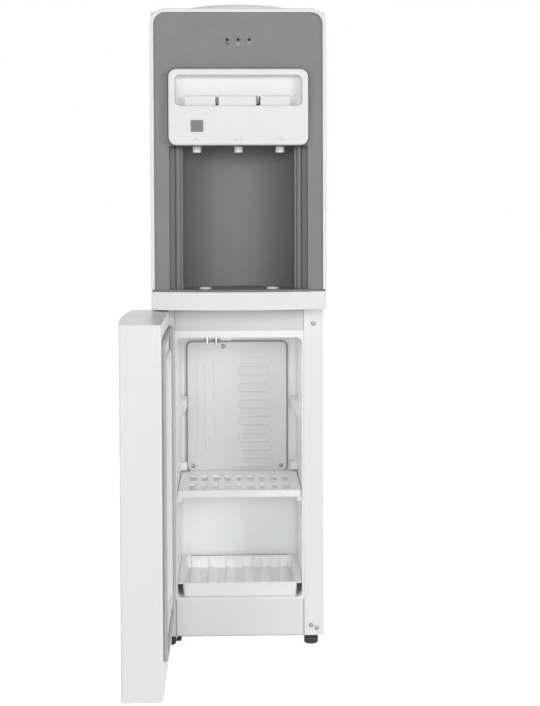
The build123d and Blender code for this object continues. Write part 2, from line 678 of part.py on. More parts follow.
def key(name):
    """Piano key: a lever with a finger lip in front and pins at the back."""
    x0, x1 = KEY_EDGES[name]
    lever = block(x0, x1, KEY_FRONT, KEY_PIVOT_Y, KEY_TOP - KEY_THICK, KEY_TOP)
    skirt_back = KEY_FRONT + KEY_SKIRT_THICK
    lever += block(x0, x1, KEY_FRONT, skirt_back, KEY_TOP - KEY_SKIRT, KEY_TOP)
    brow = lever.edges().filter_by(Axis.X).group_by(Axis.Z)[-1].sort_by(Axis.Y)[0]
    lever = fillet(brow, KEY_SKIRT_THICK / 2)
    lever += along_x(x0, x1, KEY_PIVOT_Y, KEY_PIVOT_Z, KEY_BOSS_RADIUS)
    ears = ear_places()
    left = [ear for ear in ears if ear[1] <= x0][-1]
    right = [ear for ear in ears if ear[0] >= x1][0]
    reach = KEY_PIN_REACH
    lever += along_x(left[1] - reach, x0 + 1, KEY_PIVOT_Y, KEY_PIVOT_Z, KEY_PIN_RADIUS)
    lever += along_x(x1 - 1, right[0] + reach, KEY_PIVOT_Y, KEY_PIVOT_Z, KEY_PIN_RADIUS)
    return lever


def lock_block(grow, y0, y1):
    """The square block of the lock's cap, from one depth to another."""
    half, high = LOCK_WIDE / 2 + grow, LOCK_HIGH / 2 + grow
    return block(LOCK_X - half, LOCK_X + half, y0, y1, LOCK_Z - high, LOCK_Z + high)


def lock_button():
    """Square child lock with a finely grooved face and a stop flange behind."""
    front = -TAP_PROUD - LOCK_PROUD
    stop = -TAP_PROUD + TAP_WALL + SEAT_GAP
    cap = lock_block(0, front, stop + 1)
    cap = fillet(cap.edges().filter_by(Axis.Y), LOCK_LIP)
    left, right = LOCK_X - LOCK_WIDE / 2, LOCK_X + LOCK_WIDE / 2
    low, high = LOCK_Z - LOCK_HIGH / 2, LOCK_Z + LOCK_HIGH / 2
    half = LOCK_GROOVE / 2
    bed = front + LOCK_GROOVE
    inset = LOCK_BORDER
    for index in range(1, LOCK_GRID):
        x = left + index * LOCK_WIDE / LOCK_GRID
        z = low + index * LOCK_HIGH / LOCK_GRID
        cap -= block(x - half, x + half, front - 1, bed, low + inset, high - inset)
        cap -= block(left + inset, right - inset, front - 1, bed, z - half, z + half)
    return cap + lock_block(LOCK_LIP, stop, stop + LOCK_FLANGE)


def valve(name):
    """Tap valve with its spout, mounting flange and inlet barb."""
    x = VALVE_X[name]
    body = upright(x, VALVE_Y, ALCOVE_ROOF, VALVE_TOP, VALVE_RADIUS)
    flange_top = ALCOVE_ROOF + VALVE_FLANGE_THICK
    body += upright(x, VALVE_Y, ALCOVE_ROOF, flange_top, VALVE_FLANGE_RADIUS)
    body += upright(x, VALVE_Y, SPOUT_END, ALCOVE_ROOF, SPOUT_RADIUS)
    reach = VALVE_RADIUS + BARB_REACH
    if name == "hot":
        body += along_x(x - reach, x, VALVE_Y, BARB_Z, BARB_RADIUS)
        body -= along_x(x - reach - 1, x, VALVE_Y, BARB_Z, BARB_BORE)
    else:
        body += along_y(x, VALVE_Y, VALVE_Y + reach, BARB_Z, BARB_RADIUS)
        body -= along_y(x, VALVE_Y, VALVE_Y + reach + 1, BARB_Z, BARB_BORE)
    body -= upright(x, VALVE_Y, SPOUT_END - 1, BARB_Z, SPOUT_BORE)
    hole = PLUNGER_RADIUS + RUN_GAP
    return body - upright(x, VALVE_Y, PLUNGER_HOLE_BOTTOM, VALVE_TOP + 1, hole)


def plunger(name):
    """Round-ended pin that the key presses into its valve."""
    x = VALVE_X[name]
    crown = KEY_TOP - KEY_THICK - SEAT_GAP - PLUNGER_RADIUS
    pin = upright(x, VALVE_Y, PLUNGER_BOTTOM, crown, PLUNGER_RADIUS)
    return pin + Pos(x, VALVE_Y, crown) * Sphere(PLUNGER_RADIUS)


# ---- bottle seat, tanks and hoses ----------------------------------------------
def bottle_seat():
    """White ring and cone that the bottle's neck stands in."""
    foot = COVER_TOP + SEAT_GAP
    inside = WELL_RADIUS - SLIDE_GAP
    wall = SEAT_WALL
    profile = [
        (SEAT_RADIUS, foot),
        (SEAT_RADIUS, SEAT_TOP - 5),
        (SEAT_RADIUS - 4, SEAT_TOP),
        (inside - wall, SEAT_TOP),
        (inside - 2 * wall, SEAT_TOP - wall),
        (THROAT_RADIUS, THROAT_Z + 10),
        (THROAT_RADIUS, THROAT_Z),
        (THROAT_RADIUS + wall, THROAT_Z),
        (THROAT_RADIUS + wall, THROAT_Z + 8),
        (inside - wall, foot - 3 * wall),
        (inside, foot - 2 * wall),
        (inside, foot),
    ]
    return turned(profile, 0, SEAT_Y)


def feed_tube():
    """Pierced spike with a collar, standing in the seat's throat."""
    inner = FEED_RADIUS - FEED_WALL
    collar_low = THROAT_Z + FEED_WALL
    collar_high = collar_low + 2 * FEED_WALL
    throat = THROAT_RADIUS - SEAT_GAP
    profile = [
        (inner, FEED_BOTTOM),
        (FEED_RADIUS, FEED_BOTTOM),
        (FEED_RADIUS, collar_low),
        (throat, collar_low),
        (throat, collar_high),
        (FEED_RADIUS, collar_high),
        (FEED_RADIUS, FEED_TOP - 8),
        (inner + 0.5, FEED_TOP),
        (inner, FEED_TOP),
    ]
    spike = turned(profile, 0, SEAT_Y)
    for angle in (0, 90, 180, 270):
        side = Rot(0, 0, angle) * Pos(FEED_RADIUS, 0, 0) * Box(8, 6, 10)
        spike -= Pos(0, SEAT_Y, FEED_TOP - 16) * side
    return spike


def hose_end(name):
    """Y where a straight hose stops, just short of the cold tank's wall."""
    near = max(abs(VALVE_X[name]) - HOSE_RADIUS, 0)
    return SEAT_Y - math.sqrt(COLD_RADIUS**2 - near**2) - 1


def nipple_front(name):
    """Y of the end face of a cold-tank nipple, inside its hose."""
    return hose_end(name) - NIPPLE_REACH


def cold_tank():
    """Open steel tank with two outlet nipples and a bottom feed hole."""
    inner = COLD_RADIUS - COLD_WALL
    tank = upright(0, SEAT_Y, COLD_BOTTOM, COLD_TOP, COLD_RADIUS)
    middle = SEAT_Y - 12
    for name in ("normal", "cold"):
        tank += along_y(VALVE_X[name], nipple_front(name), middle, BARB_Z, NIPPLE_RADIUS)
    tank -= upright(0, SEAT_Y, COLD_BOTTOM + COLD_WALL, COLD_TOP + 1, inner)
    for name in ("normal", "cold"):
        tank -= along_y(VALVE_X[name], nipple_front(name) - 1, middle + 4, BARB_Z, BARB_BORE)
    feed = FEED_PIPE_RADIUS - 1
    return tank - upright(0, FEED_PIPE_Y, COLD_BOTTOM - 1, COLD_BOTTOM + 5, feed)


def cold_coil():
    """Evaporator sleeve of the cold tank, beaded like its wound tube."""
    inner = COLD_RADIUS + PANEL_GAP
    profile = [Line((inner, 0, COIL_BOTTOM), (inner + 1, 0, COIL_BOTTOM))]
    pitch = 2 * COIL_WIRE
    for turn in range(COIL_TURNS):
        low = COIL_BOTTOM + turn * pitch
        start = (inner + 1, 0, low)
        bulge = (inner + 1 + COIL_WIRE, 0, low + COIL_WIRE)
        profile.append(ThreePointArc(start, bulge, (inner + 1, 0, low + pitch)))
    top = COIL_BOTTOM + COIL_TURNS * pitch
    profile.append(Polyline((inner + 1, 0, top), (inner, 0, top), (inner, 0, COIL_BOTTOM)))
    return Pos(0, SEAT_Y, 0) * revolve(make_face(profile), Axis.Z)


def cold_jacket():
    """Foam block around the cold tank, open on top."""
    half, front, back = COLD_JACKET_HALF, COLD_JACKET_FRONT, COLD_JACKET_BACK
    top = COLD_TOP - 2
    foam = soft_block(
        -half, half, front, back, SHELF_LEVEL, top, COLD_JACKET_CORNER, Axis.Z
    )
    hollow = COLD_RADIUS + PANEL_GAP + 1 + COIL_WIRE + JACKET_GAP
    foam -= upright(0, SEAT_Y, COLD_BOTTOM - SEAT_GAP, COLD_TOP + 1, hollow)
    for name in ("normal", "cold"):
        foam -= along_y(VALVE_X[name], front - 1, SEAT_Y, BARB_Z, HOSE_RADIUS + SEAT_GAP)
    feed = FEED_PIPE_RADIUS + SEAT_GAP
    return foam - upright(0, FEED_PIPE_Y, SHELF_LEVEL - 1, COLD_BOTTOM, feed)


def straight_hose(name):
    """Soft tube from a valve's barb to a cold-tank nipple."""
    x = VALVE_X[name]
    start = VALVE_Y + VALVE_RADIUS + PANEL_GAP
    end = hose_end(name)
    barb_end = VALVE_Y + VALVE_RADIUS + BARB_REACH + SEAT_GAP
    nipple_end = nipple_front(name) - SEAT_GAP
    hose = along_y(x, start, end, BARB_Z, HOSE_RADIUS)
    hose -= along_y(x, start - 1, barb_end, BARB_Z, BARB_RADIUS + RUN_GAP)
    hose -= along_y(x, nipple_end, end + 1, BARB_Z, NIPPLE_RADIUS + RUN_GAP)
    return hose - along_y(x, start - 1, end + 1, BARB_Z, BARB_BORE)


def hot_hose():
    """Soft tube from the hot tank round the side to the hot valve."""
    start_x = VALVE_X["hot"] - VALVE_RADIUS - BARB_REACH - PANEL_GAP
    end_x = HOT_NIPPLE_X - PANEL_GAP
    route = [
        (start_x, VALVE_Y, BARB_Z),
        (HOSE_RUN_X, VALVE_Y, BARB_Z),
        (HOSE_RUN_X, HOT_Y, BARB_Z),
        (HOSE_RUN_X, HOT_Y, HOT_NIPPLE_Z),
        (end_x, HOT_Y, HOT_NIPPLE_Z),
    ]
    return tube(route, HOSE_RADIUS, HOSE_BEND, BARB_BORE)


def hot_tank():
    """Closed steel heating tank with its feed pipe, outlet and drain."""
    tank = upright(0, HOT_Y, HOT_BOTTOM, HOT_TOP, HOT_RADIUS)
    tank = fillet(tank.edges(), 6)
    inner = upright(0, HOT_Y, HOT_BOTTOM + HOT_WALL, HOT_TOP - HOT_WALL, HOT_RADIUS - HOT_WALL)
    inner = fillet(inner.edges(), 5)
    tank += upright(0, FEED_PIPE_Y, HOT_TOP - 4, COLD_BOTTOM - PANEL_GAP, FEED_PIPE_RADIUS)
    tank += along_x(HOT_NIPPLE_X, -HOT_RADIUS + 2, HOT_Y, HOT_NIPPLE_Z, NIPPLE_RADIUS)
    corner = (DRAIN_X, HOT_Y, DRAIN_Z)
    drain = [(HOT_RADIUS - 3, HOT_Y, DRAIN_Z), corner, (DRAIN_X, DRAIN_END, DRAIN_Z)]
    tank += tube(drain, DRAIN_RADIUS, 4 * DRAIN_RADIUS)
    return tank - inner


def hot_jacket():
    """Foam sleeve round the hot tank, standing on the deck."""
    sleeve = upright(0, HOT_Y, DECK_TOP, HOT_JACKET_TOP, HOT_JACKET_RADIUS)
    hollow = HOT_RADIUS + JACKET_GAP
    sleeve -= upright(0, HOT_Y, HOT_BOTTOM - SEAT_GAP, HOT_TOP + JACKET_GAP, hollow)
    feed = FEED_PIPE_RADIUS + SEAT_GAP
    sleeve -= upright(0, FEED_PIPE_Y, HOT_TOP, HOT_JACKET_TOP + 1, feed)
    sleeve -= along_x(HOT_NIPPLE_X, -HOT_RADIUS, HOT_Y, HOT_NIPPLE_Z, NIPPLE_RADIUS + SEAT_GAP)
    return sleeve - along_x(HOT_RADIUS, DRAIN_X, HOT_Y, DRAIN_Z, DRAIN_RADIUS + SEAT_GAP)


# ---- refrigerated cabinet ------------------------------------------------------
def fridge_liner():
    """White inner box with a front flange, shelf ledges, rails and plate bosses."""
    front = CABINET_FRONT
    back = LINER_BACK + LINER_WALL
    shell = block(-LINER_HALF, LINER_HALF, front, back, LINER_LOW, LINER_HIGH)
    shell += block(-STILE_X, STILE_X, front - LINER_FLANGE, front, LINER_LOW, LINER_BAND_TOP)
    room = block(-OPEN_HALF, OPEN_HALF, 0, LINER_BACK, OPEN_BOTTOM, OPEN_TOP)
    room = fillet(room.edges().filter_by(Axis.Y), LINER_CORNER)
    room = fillet(room.faces().sort_by(Axis.Y)[-1].edges(), LINER_CORNER)
    shell -= room
    for side in (-1, 1):
        shell += liner_supports(side)
    shank = SCREW_SHANK + RUN_GAP
    for x, z in plate_screws():
        shell += along_y(x, PLATE_BACK, LINER_BACK + 1, z, BOSS_RADIUS)
        shell -= along_y(x, PLATE_FRONT, PLATE_FRONT + SCREW_LONG + 2, z, shank)
    for x in pipe_places():
        shell -= along_y(x, LINER_BACK - 1, back + 1, PIPE_Z, PIPE_RADIUS + SEAT_GAP)
    return shell


def liner_supports(side):
    """Ledge, shelf rail and shelf stop moulded on one side wall of the liner."""
    back = LINER_BACK - LINER_CORNER
    wall = side * (OPEN_HALF + 1)
    tip = side * (OPEN_HALF - LEDGE_DEEP)
    start = CABINET_FRONT + 2 * LINER_CORNER
    outline = [(wall, start), (wall, back), (tip, back), (tip, back - LEDGE_TAPER)]
    ledge = make_face(Polyline(*outline, close=True))
    supports = plate_up(ledge, UPPER_LEDGE_Z - UPPER_LEDGE_HIGH, UPPER_LEDGE_Z)
    top = SHELF_TOP - SHELF_LIP - SEAT_GAP
    start = CABINET_FRONT + LINER_CORNER
    rail = sorted((wall, side * (OPEN_HALF - SHELF_RAIL)))
    supports += block(*rail, start, back, top - LEDGE_THICK, top)
    low = SHELF_TOP + 2 * LINER_FLANGE
    stop = sorted((wall, tip))
    return supports + block(*stop, back - STOP_HIGH, back, low, low + STOP_HIGH)


def plate_screws():
    """X and Z of the three screws of the evaporator plate."""
    inset = PLATE_SCREW_INSET
    low = PLATE_BOTTOM + inset
    upper = pipe_places()[1] + PIPE_TO_SCREW
    return [(upper, PLATE_TOP - 11), (PLATE_LEFT + inset, low), (PLATE_RIGHT - inset, low)]


def pipe_places():
    """X of the two pipes that reach the evaporator plate from behind."""
    first = PLATE_LEFT + 40
    return (first, first + PIPE_PITCH)


def cabinet_foam():
    """Foam between the casing and the liner."""
    front = CABINET_FRONT + SHEET
    rail_back = CABINET_FRONT + RAIL_THICK
    foam = block(-INNER_X, INNER_X, front, FOAM_BACK, BASE_TOP, DECK_BOTTOM)
    foam -= block(-STILE_X, STILE_X, front - 1, rail_back, BASE_TOP - 1, DECK_BOTTOM + 1)
    for x in (-FOOT_X, FOOT_X):
        foam -= upright(x, FOOT_FRONT_Y, BASE_TOP - 1, BASE_TOP + FOOT_STUD_LONG, FOOT_STUD + 2)
    back = LINER_BACK + LINER_WALL
    foam -= block(-LINER_HALF, LINER_HALF, front - 1, back, LINER_LOW, LINER_HIGH)
    for x in pipe_places():
        foam -= along_y(x, LINER_BACK, FOAM_BACK + 1, PIPE_Z, PIPE_RADIUS + SEAT_GAP)
    for x, z in plate_screws():
        foam -= along_y(x, LINER_BACK, PLATE_FRONT + SCREW_LONG + 3, z, SCREW_SHANK + 1)
    for x, z in stile_screws():
        foam -= along_y(x, front - 1, CABINET_FRONT + SCREW_LONG + 2, z, SCREW_SHANK + 1)
    return foam


def evaporator_plate():
    """Cold plate with raised channels and two pipes through the back wall."""
    left, right, low, high = PLATE_LEFT, PLATE_RIGHT, PLATE_BOTTOM, PLATE_TOP
    plate = soft_block(left, right, PLATE_FRONT, PLATE_BACK, low, high, PLATE_CORNER, Axis.Y)
    rise = PLATE_FRONT - CHANNEL_HIGH
    half = CHANNEL_WIDE / 2
    start = (left + right) / 2 + CHANNEL_WIDE
    end = right - 2 * CHANNEL_PITCH
    for index in range(CHANNEL_COUNT):
        z = low + PLATE_CORNER + index * CHANNEL_PITCH
        plate += block(start, end, rise, PLATE_FRONT, z - half, z + half)
        if index < CHANNEL_COUNT - 1:
            x = end - CHANNEL_WIDE if index % 2 == 0 else start
            plate += block(x, x + CHANNEL_WIDE, rise, PLATE_FRONT, z, z + CHANNEL_PITCH)
    low, high = low + 40, high - 40
    for index in range(UPRIGHT_CHANNELS):
        x = left + 22 + index * CHANNEL_PITCH
        plate += block(x - half, x + half, rise, PLATE_FRONT, low, high)
    for x, z in plate_screws():
        plate -= along_y(x, rise - 1, PLATE_BACK + 1, z, SCREW_SHANK + RUN_GAP)
    for x in pipe_places():
        plate += upright(x, rise, PLATE_TOP - 20, PIPE_Z, PIPE_RADIUS)
        plate += Pos(x, rise, PIPE_Z) * Sphere(PIPE_RADIUS)
        plate += along_y(x, rise, FOAM_BACK + 12, PIPE_Z, PIPE_RADIUS)
    return plate


def sensor_clip():
    """White clip above the plate's upper edge for the temperature sensor."""
    left = pipe_places()[1] + 9
    low = PLATE_TOP + PANEL_GAP
    front = PLATE_FRONT - 4
    clip = block(left, left + CLIP_WIDE, front, LINER_BACK, low, low + CLIP_HIGH)
    return fillet(clip.edges().filter_by(Axis.Y), 1.5)


def shelf():
    """Pierced shelf with a front lip, sliding on the liner's rails."""
    half = OPEN_HALF - SHELF_SIDE_GAP
    back = LINER_BACK - LINER_CORNER - SLIDE_GAP
    low = SHELF_TOP - SHELF_LIP
    board = block(-half, half, SHELF_FRONT, back, low, SHELF_TOP)
    board = fillet(board.faces().sort_by(Axis.Z)[-1].edges(), 0.4 * SHELF_THICK)
    wall = SHELF_THICK
    front = SHELF_FRONT + wall
    board -= block(-half + wall, half - wall, front, back - wall, low - 1, SHELF_TOP - wall)
    first = SLOT_SIDE - OPEN_HALF
    pitch = -2 * first / (SLOT_COLUMNS - 1)
    wide, deep = SLOT_WIDE / 2, SLOT_LONG / 2
    for row in range(SLOT_ROWS):
        y = SHELF_FRONT + SLOT_START + row * SLOT_ROW_PITCH
        for column in range(SLOT_COLUMNS):
            x = first + column * pitch
            board -= soft_block(
                x - wide, x + wide, y - deep, y + deep, low - 1, SHELF_TOP + 1, SLOT_CORNER, Axis.Z
            )
    return board


def lower_tray():
    """Open ribbed tray with side wings, on the liner's floor."""
    flare = TRAY_HEIGHT * math.tan(math.radians(TRAY_DRAFT))
    half = TRAY_TOP_HALF - flare
    deep = TRAY_BACK - TRAY_FRONT - 2 * flare
    floor = OPEN_BOTTOM + SEAT_GAP
    middle_y = (TRAY_FRONT + TRAY_BACK) / 2
    base = RectangleRounded(2 * half, deep, TRAY_CORNER)
    body = Pos(0, middle_y, floor) * extrude(base, TRAY_HEIGHT, taper=-TRAY_DRAFT)
    wall = TRAY_WALL
    bed = RectangleRounded(2 * (half - wall), deep - 2 * wall, TRAY_CORNER - wall)
    body -= Pos(0, middle_y, floor + wall) * extrude(bed, TRAY_HEIGHT, taper=-TRAY_DRAFT)
    pitch = 2 * half / TRAY_RIBS
    front, back = TRAY_FRONT + 12, TRAY_BACK - 12
    wide = RIB_WIDE / 2
    for index in range(TRAY_RIBS):
        x = -half + (index + 0.5) * pitch
        body += block(x - wide, x + wide, front, back, floor + 1, floor + wall + RIB_HIGH)
    top = floor + TRAY_HEIGHT
    for side in (-1, 1):
        wing = sorted((side * (TRAY_TOP_HALF - 1), side * (OPEN_HALF - SLIDE_GAP)))
        body += block(*wing, TRAY_FRONT, LINER_BACK - LINER_CORNER - 2, top - TRAY_WING, top)
    return body


def front_rail():
    """Painted cross rail between the stiles, above the opening."""
    back = CABINET_FRONT + RAIL_THICK
    return block(-STILE_X, STILE_X, CABINET_FRONT, back, LINER_BAND_TOP, APRON_BOTTOM - HINGE_GAP)


def kick_panel():
    """Plinth between the stiles with a fine rebate at its sides and bottom."""
    half, low, high = STILE_X, FLOOR_GAP, LINER_LOW
    front, back = CABINET_FRONT, CABINET_FRONT + KICK_THICK
    panel = block(-half, half, front, back, low, high)
    ring = block(-half - 1, half + 1, front - 1, front + KICK_REBATE, low - 1, high)
    inner = half - KICK_REBATE
    ring -= block(-inner, inner, front - 2, back, low + KICK_REBATE, high + 1)
    return panel - ring


def stile_screws():
    """X and Z of the three screws in the right stile."""
    right = (STILE_X + CASE_X) / 2
    return [(right - 5, FLOOR_GAP + 18), (right + 5, FLOOR_GAP + 13), (right, APRON_BOTTOM - 30)]


def screws():
    """Pan-head screws of the evaporator plate and of the right stile."""
    places = [(x, PLATE_FRONT, z) for x, z in plate_screws()]
    places += [(x, CABINET_FRONT, z) for x, z in stile_screws()]
    pieces = []
    for x, y, z in places:
        head = along_y(x, y - SCREW_HEAD_THICK, y, z, SCREW_HEAD)
        head = fillet(head.edges().sort_by(Axis.Y)[0], SCREW_HEAD / 3)
        start, bed = y - SCREW_HEAD_THICK - 1, y - SCREW_HEAD_THICK / 2
        half, wide = SCREW_SLOT / 2, SCREW_HEAD / 2
        head -= block(x - wide, x + wide, start, bed, z - half, z + half)
        head -= block(x - half, x + half, start, bed, z - wide, z + wide)
        pieces.append(head + along_y(x, y, y + SCREW_LONG, z, SCREW_SHANK))
    return Compound(pieces)


# ---- door ----------------------------------------------------------------------
def opened(piece):
    """Turn a piece drawn on the shut door to the door's open rest place."""
    turn = Pos(HINGE_X, HINGE_Y, 0) * Rot(0, 0, -DOOR_REST_ANGLE) * Pos(-HINGE_X, -HINGE_Y, 0)
    return turn * piece


def door_plan(inset, back):
    """Plan of the bowed door leaf, up to the plane Y = back."""
    half = DOOR_HALF - inset
    edge = DOOR_FACE + inset
    bow = ThreePointArc((-half, edge), (0, edge - DOOR_CROWN), (half, edge))
    rest = Polyline((half, edge), (half, back), (-half, back), (-half, edge))
    return make_face([bow, rest])


def door_panel():
    """Bowed outer skin with its end caps, open at the back."""
    back = DOOR_INNER - DOOR_LINER
    leaf = plate_up(door_plan(0, back), DOOR_BOTTOM, DOOR_TOP)
    fore = leaf.edges().filter_by(Axis.Z).sort_by(Axis.Y)[:2].sort_by(Axis.X)
    leaf = fillet(fore[0], DOOR_HINGE_CORNER)
    fore = leaf.edges().filter_by(Axis.Z).sort_by(Axis.X)[-2:].sort_by(Axis.Y)
    leaf = fillet(fore[0], DOOR_FREE_CORNER)
    room = door_plan(DOOR_SKIN + 1, back + 1)
    room = plate_up(room, DOOR_BOTTOM + DOOR_CAP, DOOR_TOP - DOOR_CAP)
    hole = upright(HINGE_X, HINGE_Y, DOOR_BOTTOM - 1, DOOR_TOP + 1, HINGE_PIN + RUN_GAP)
    return opened(leaf - room - hole)


def door_foam():
    """Foam filling of the door leaf."""
    back = DOOR_INNER - DOOR_LINER
    grow = DOOR_SKIN + 1 + PANEL_GAP
    filling = plate_up(door_plan(grow, back), DOOR_BOTTOM + DOOR_CAP, DOOR_TOP - DOOR_CAP)
    fore = filling.edges().filter_by(Axis.Z).sort_by(Axis.Y)[:2].sort_by(Axis.X)
    filling = fillet(fore[0], DOOR_HINGE_CORNER - 1)
    hole = upright(HINGE_X, HINGE_Y, DOOR_BOTTOM - 1, DOOR_TOP + 1, HINGE_PIN + 1)
    return opened(filling - hole)


def door_liner():
    """White inner face of the door with a raised field."""
    inset = 0.5
    half, low, high = DOOR_HALF - inset, DOOR_BOTTOM + inset, DOOR_TOP - inset
    back = DOOR_INNER - DOOR_LINER
    face = soft_block(-half, half, back, DOOR_INNER, low, high, DOOR_FREE_CORNER, Axis.Y)
    half = OPEN_HALF - FIELD_INSET
    low, high = OPEN_BOTTOM + FIELD_INSET, OPEN_TOP - FIELD_INSET
    top = DOOR_INNER + DOOR_STEP
    field = soft_block(-half, half, DOOR_INNER - 1, top, low, high, FIELD_INSET, Axis.Y)
    field = fillet(field.faces().sort_by(Axis.Y)[-1].edges(), 3)
    half, low, high = half - FIELD_RIM, low + FIELD_RIM, high - FIELD_RIM
    hollow = soft_block(-half, half, DOOR_INNER, top + 1, low, high, FIELD_INSET / 2, Axis.Y)
    return opened(face + field - hollow)


def door_gasket():
    """Dark magnetic seal all round the door's inner face."""
    half, low, high = GASKET_OUT, GASKET_BOTTOM, GASKET_TOP
    face = CABINET_FRONT - GASKET_GAP
    ring = soft_block(-half, half, DOOR_INNER, face, low, high, 10, Axis.Y)
    ring = fillet(ring.faces().sort_by(Axis.Y)[-1].edges(), 2.5)
    half, low, high = half - GASKET_WIDE, low + GASKET_WIDE, high - GASKET_WIDE
    return opened(ring - soft_block(-half, half, DOOR_INNER - 1, face + 1, low, high, 4, Axis.Y))


def hinge_bottom():
    """Dark bracket under the base with the lower hinge pin."""
    top = DOOR_BOTTOM - HINGE_GAP
    low = top - HINGE_PLATE
    inner = HINGE_X + HINGE_ARM
    tab = -FOOT_X + FOOT_RADIUS + 2
    outer, near, far = HINGE_X - HINGE_EDGE, HINGE_Y - 9, CABINET_FRONT + HINGE_TAB
    arm = soft_block(outer, HINGE_X + HINGE_NOSE, near, CABINET_FRONT, low, top, 5, Axis.Z)
    step = CABINET_FRONT - HINGE_STEP
    arm += block(HINGE_X, inner, step, CABINET_FRONT, low, top)
    arm += block(tab, inner, step, far, low, top)
    arm += block(tab, inner, CABINET_FRONT + KICK_THICK, far, top, FLOOR_GAP)
    return arm + upright(HINGE_X, HINGE_Y, low, DOOR_BOTTOM + HINGE_PIN_LONG, HINGE_PIN)


def hinge_top():
    """Dark plate under the apron with the upper hinge pin."""
    low = DOOR_TOP + HINGE_GAP
    outer, inner = HINGE_X - HINGE_EDGE, HINGE_X + HINGE_REACH
    near, far = HINGE_Y - 9, CABINET_FRONT - PANEL_GAP
    arm = soft_block(outer, inner, near, far, low, APRON_BOTTOM, 5, Axis.Z)
    return arm + upright(HINGE_X, HINGE_Y, DOOR_TOP - HINGE_PIN_LONG, APRON_BOTTOM, HINGE_PIN)


# ---- feet ----------------------------------------------------------------------
def foot(x, y):
    """Round foot pad with its threaded stud."""
    pad = upright(x, y, 0, FOOT_PAD, FOOT_RADIUS)
    pad = fillet(pad.edges().group_by(Axis.Z)[0], FOOT_EDGE)
    stud_top = FLOOR_GAP + FOOT_STUD_LONG - FOOT_STUD
    return pad + upright(x, y, FOOT_PAD - 1, stud_top, FOOT_STUD)


def feet_rear():
    """The two fixed feet at the back."""
    pads = []
    for x in (-FOOT_X, FOOT_X):
        pad = upright(x, FOOT_REAR_Y, 0, FLOOR_GAP, FOOT_RADIUS)
        pad = fillet(pad.edges().group_by(Axis.Z)[0], FOOT_EDGE)
        pads.append(pad + upright(x, FOOT_REAR_Y, FLOOR_GAP, BASE_TOP + FOOT_STUD, FOOT_STUD))
    return Compound(pads)


# ---- cooling unit --------------------------------------------------------------
def compressor_feet():
    """X and Y of the four grommets of the compressor."""
    return [
        (COMP_X + side * COMP_FOOT_X, COMP_Y + end * COMP_FOOT_Y)
        for side in (-1, 1)
        for end in (-1, 1)
    ]


def compressor():
    """Small hermetic compressor on its foot plate, with terminal box and stubs."""
    left, right = COMP_X - COMP_LONG / 2, COMP_X + COMP_LONG / 2
    near, far = COMP_Y - COMP_DEEP / 2, COMP_Y + COMP_DEEP / 2
    round_end = COMP_DEEP / 2 - 2
    can = soft_block(left, right, near, far, COMP_BOTTOM, COMP_TOP, round_end, Axis.Z)
    rims = can.faces().sort_by(Axis.Z)
    can = fillet(rims[-1].edges() + rims[0].edges(), 22)
    lip = SEAM_PROUD
    low = COMP_BOTTOM + 0.55 * COMP_HIGH
    unit = can + soft_block(
        left - lip, right + lip, near - lip, far + lip, low, low + 2 * lip, round_end, Axis.Z
    )
    reach = COMP_FOOT_X + 12
    low = COMP_BOTTOM - LEG_THICK + 1
    unit += soft_block(
        COMP_X - reach, COMP_X + reach, near + 2, far - 2, low, COMP_BOTTOM + 1, 8, Axis.Z
    )
    hole = GROMMET_RADIUS / 2 + PANEL_GAP
    for x, y in compressor_feet():
        unit -= upright(x, y, low - 1, COMP_BOTTOM + 2, hole)
    near, far = COMP_Y - TERMINAL_HALF, COMP_Y + TERMINAL_HALF
    low = COMP_BOTTOM + TERMINAL_RISE
    unit += soft_block(
        left - TERMINAL_DEEP, left + 10, near, far, low, low + TERMINAL_HIGH, 4, Axis.X
    )
    low = COMP_TOP - 30
    unit += upright(COND_INLET_X, COMP_Y, low, COND_JOINT_Z - PANEL_GAP, COND_TUBE)
    return unit + upright(COMP_X + SUCTION_X, COMP_Y, low, COMP_TOP + 22, COND_TUBE + 1)


def compressor_mounts():
    """Four rubber grommets between the compressor and the base."""
    pads = []
    stem = GROMMET_RADIUS / 2 - PANEL_GAP
    for x, y in compressor_feet():
        pad = upright(x, y, BASE_TOP, COMP_BOTTOM - LEG_THICK + 1, GROMMET_RADIUS)
        pads.append(pad + upright(x, y, FLOOR_GAP, COMP_BOTTOM + LEG_THICK, stem))
    return Compound(pads)


def condenser():
    """Serpentine tube with upright wires behind the back panel."""
    route = [
        (COND_INLET_X, COMP_Y, COND_JOINT_Z),
        (COND_INLET_X, COMP_Y, COND_INLET_Z),
        (COND_INLET_X, COND_Y, COND_INLET_Z),
        (COND_HALF, COND_Y, COND_INLET_Z),
    ]
    for run in range(COND_RUNS):
        z = COND_BOTTOM + run * COND_PITCH
        near = COND_HALF if run % 2 == 0 else -COND_HALF
        route.append((near, COND_Y, z))
        route.append((-near, COND_Y, z))
    pipe = tube(route, COND_TUBE, COND_BEND)
    first = -(COND_HALF - COND_BEND - 6)
    pitch = -2 * first / (COND_WIRES - 1)
    low = COND_BOTTOM - COND_WIRE_OVER
    high = COND_BOTTOM + (COND_RUNS - 1) * COND_PITCH + COND_WIRE_OVER
    wire_y = COND_Y + COND_TUBE + COND_WIRE + RUN_GAP
    wires = []
    for index in range(COND_WIRES):
        wires.append(upright(first + index * pitch, wire_y, low, high, COND_WIRE))
    return Compound([pipe] + wires)


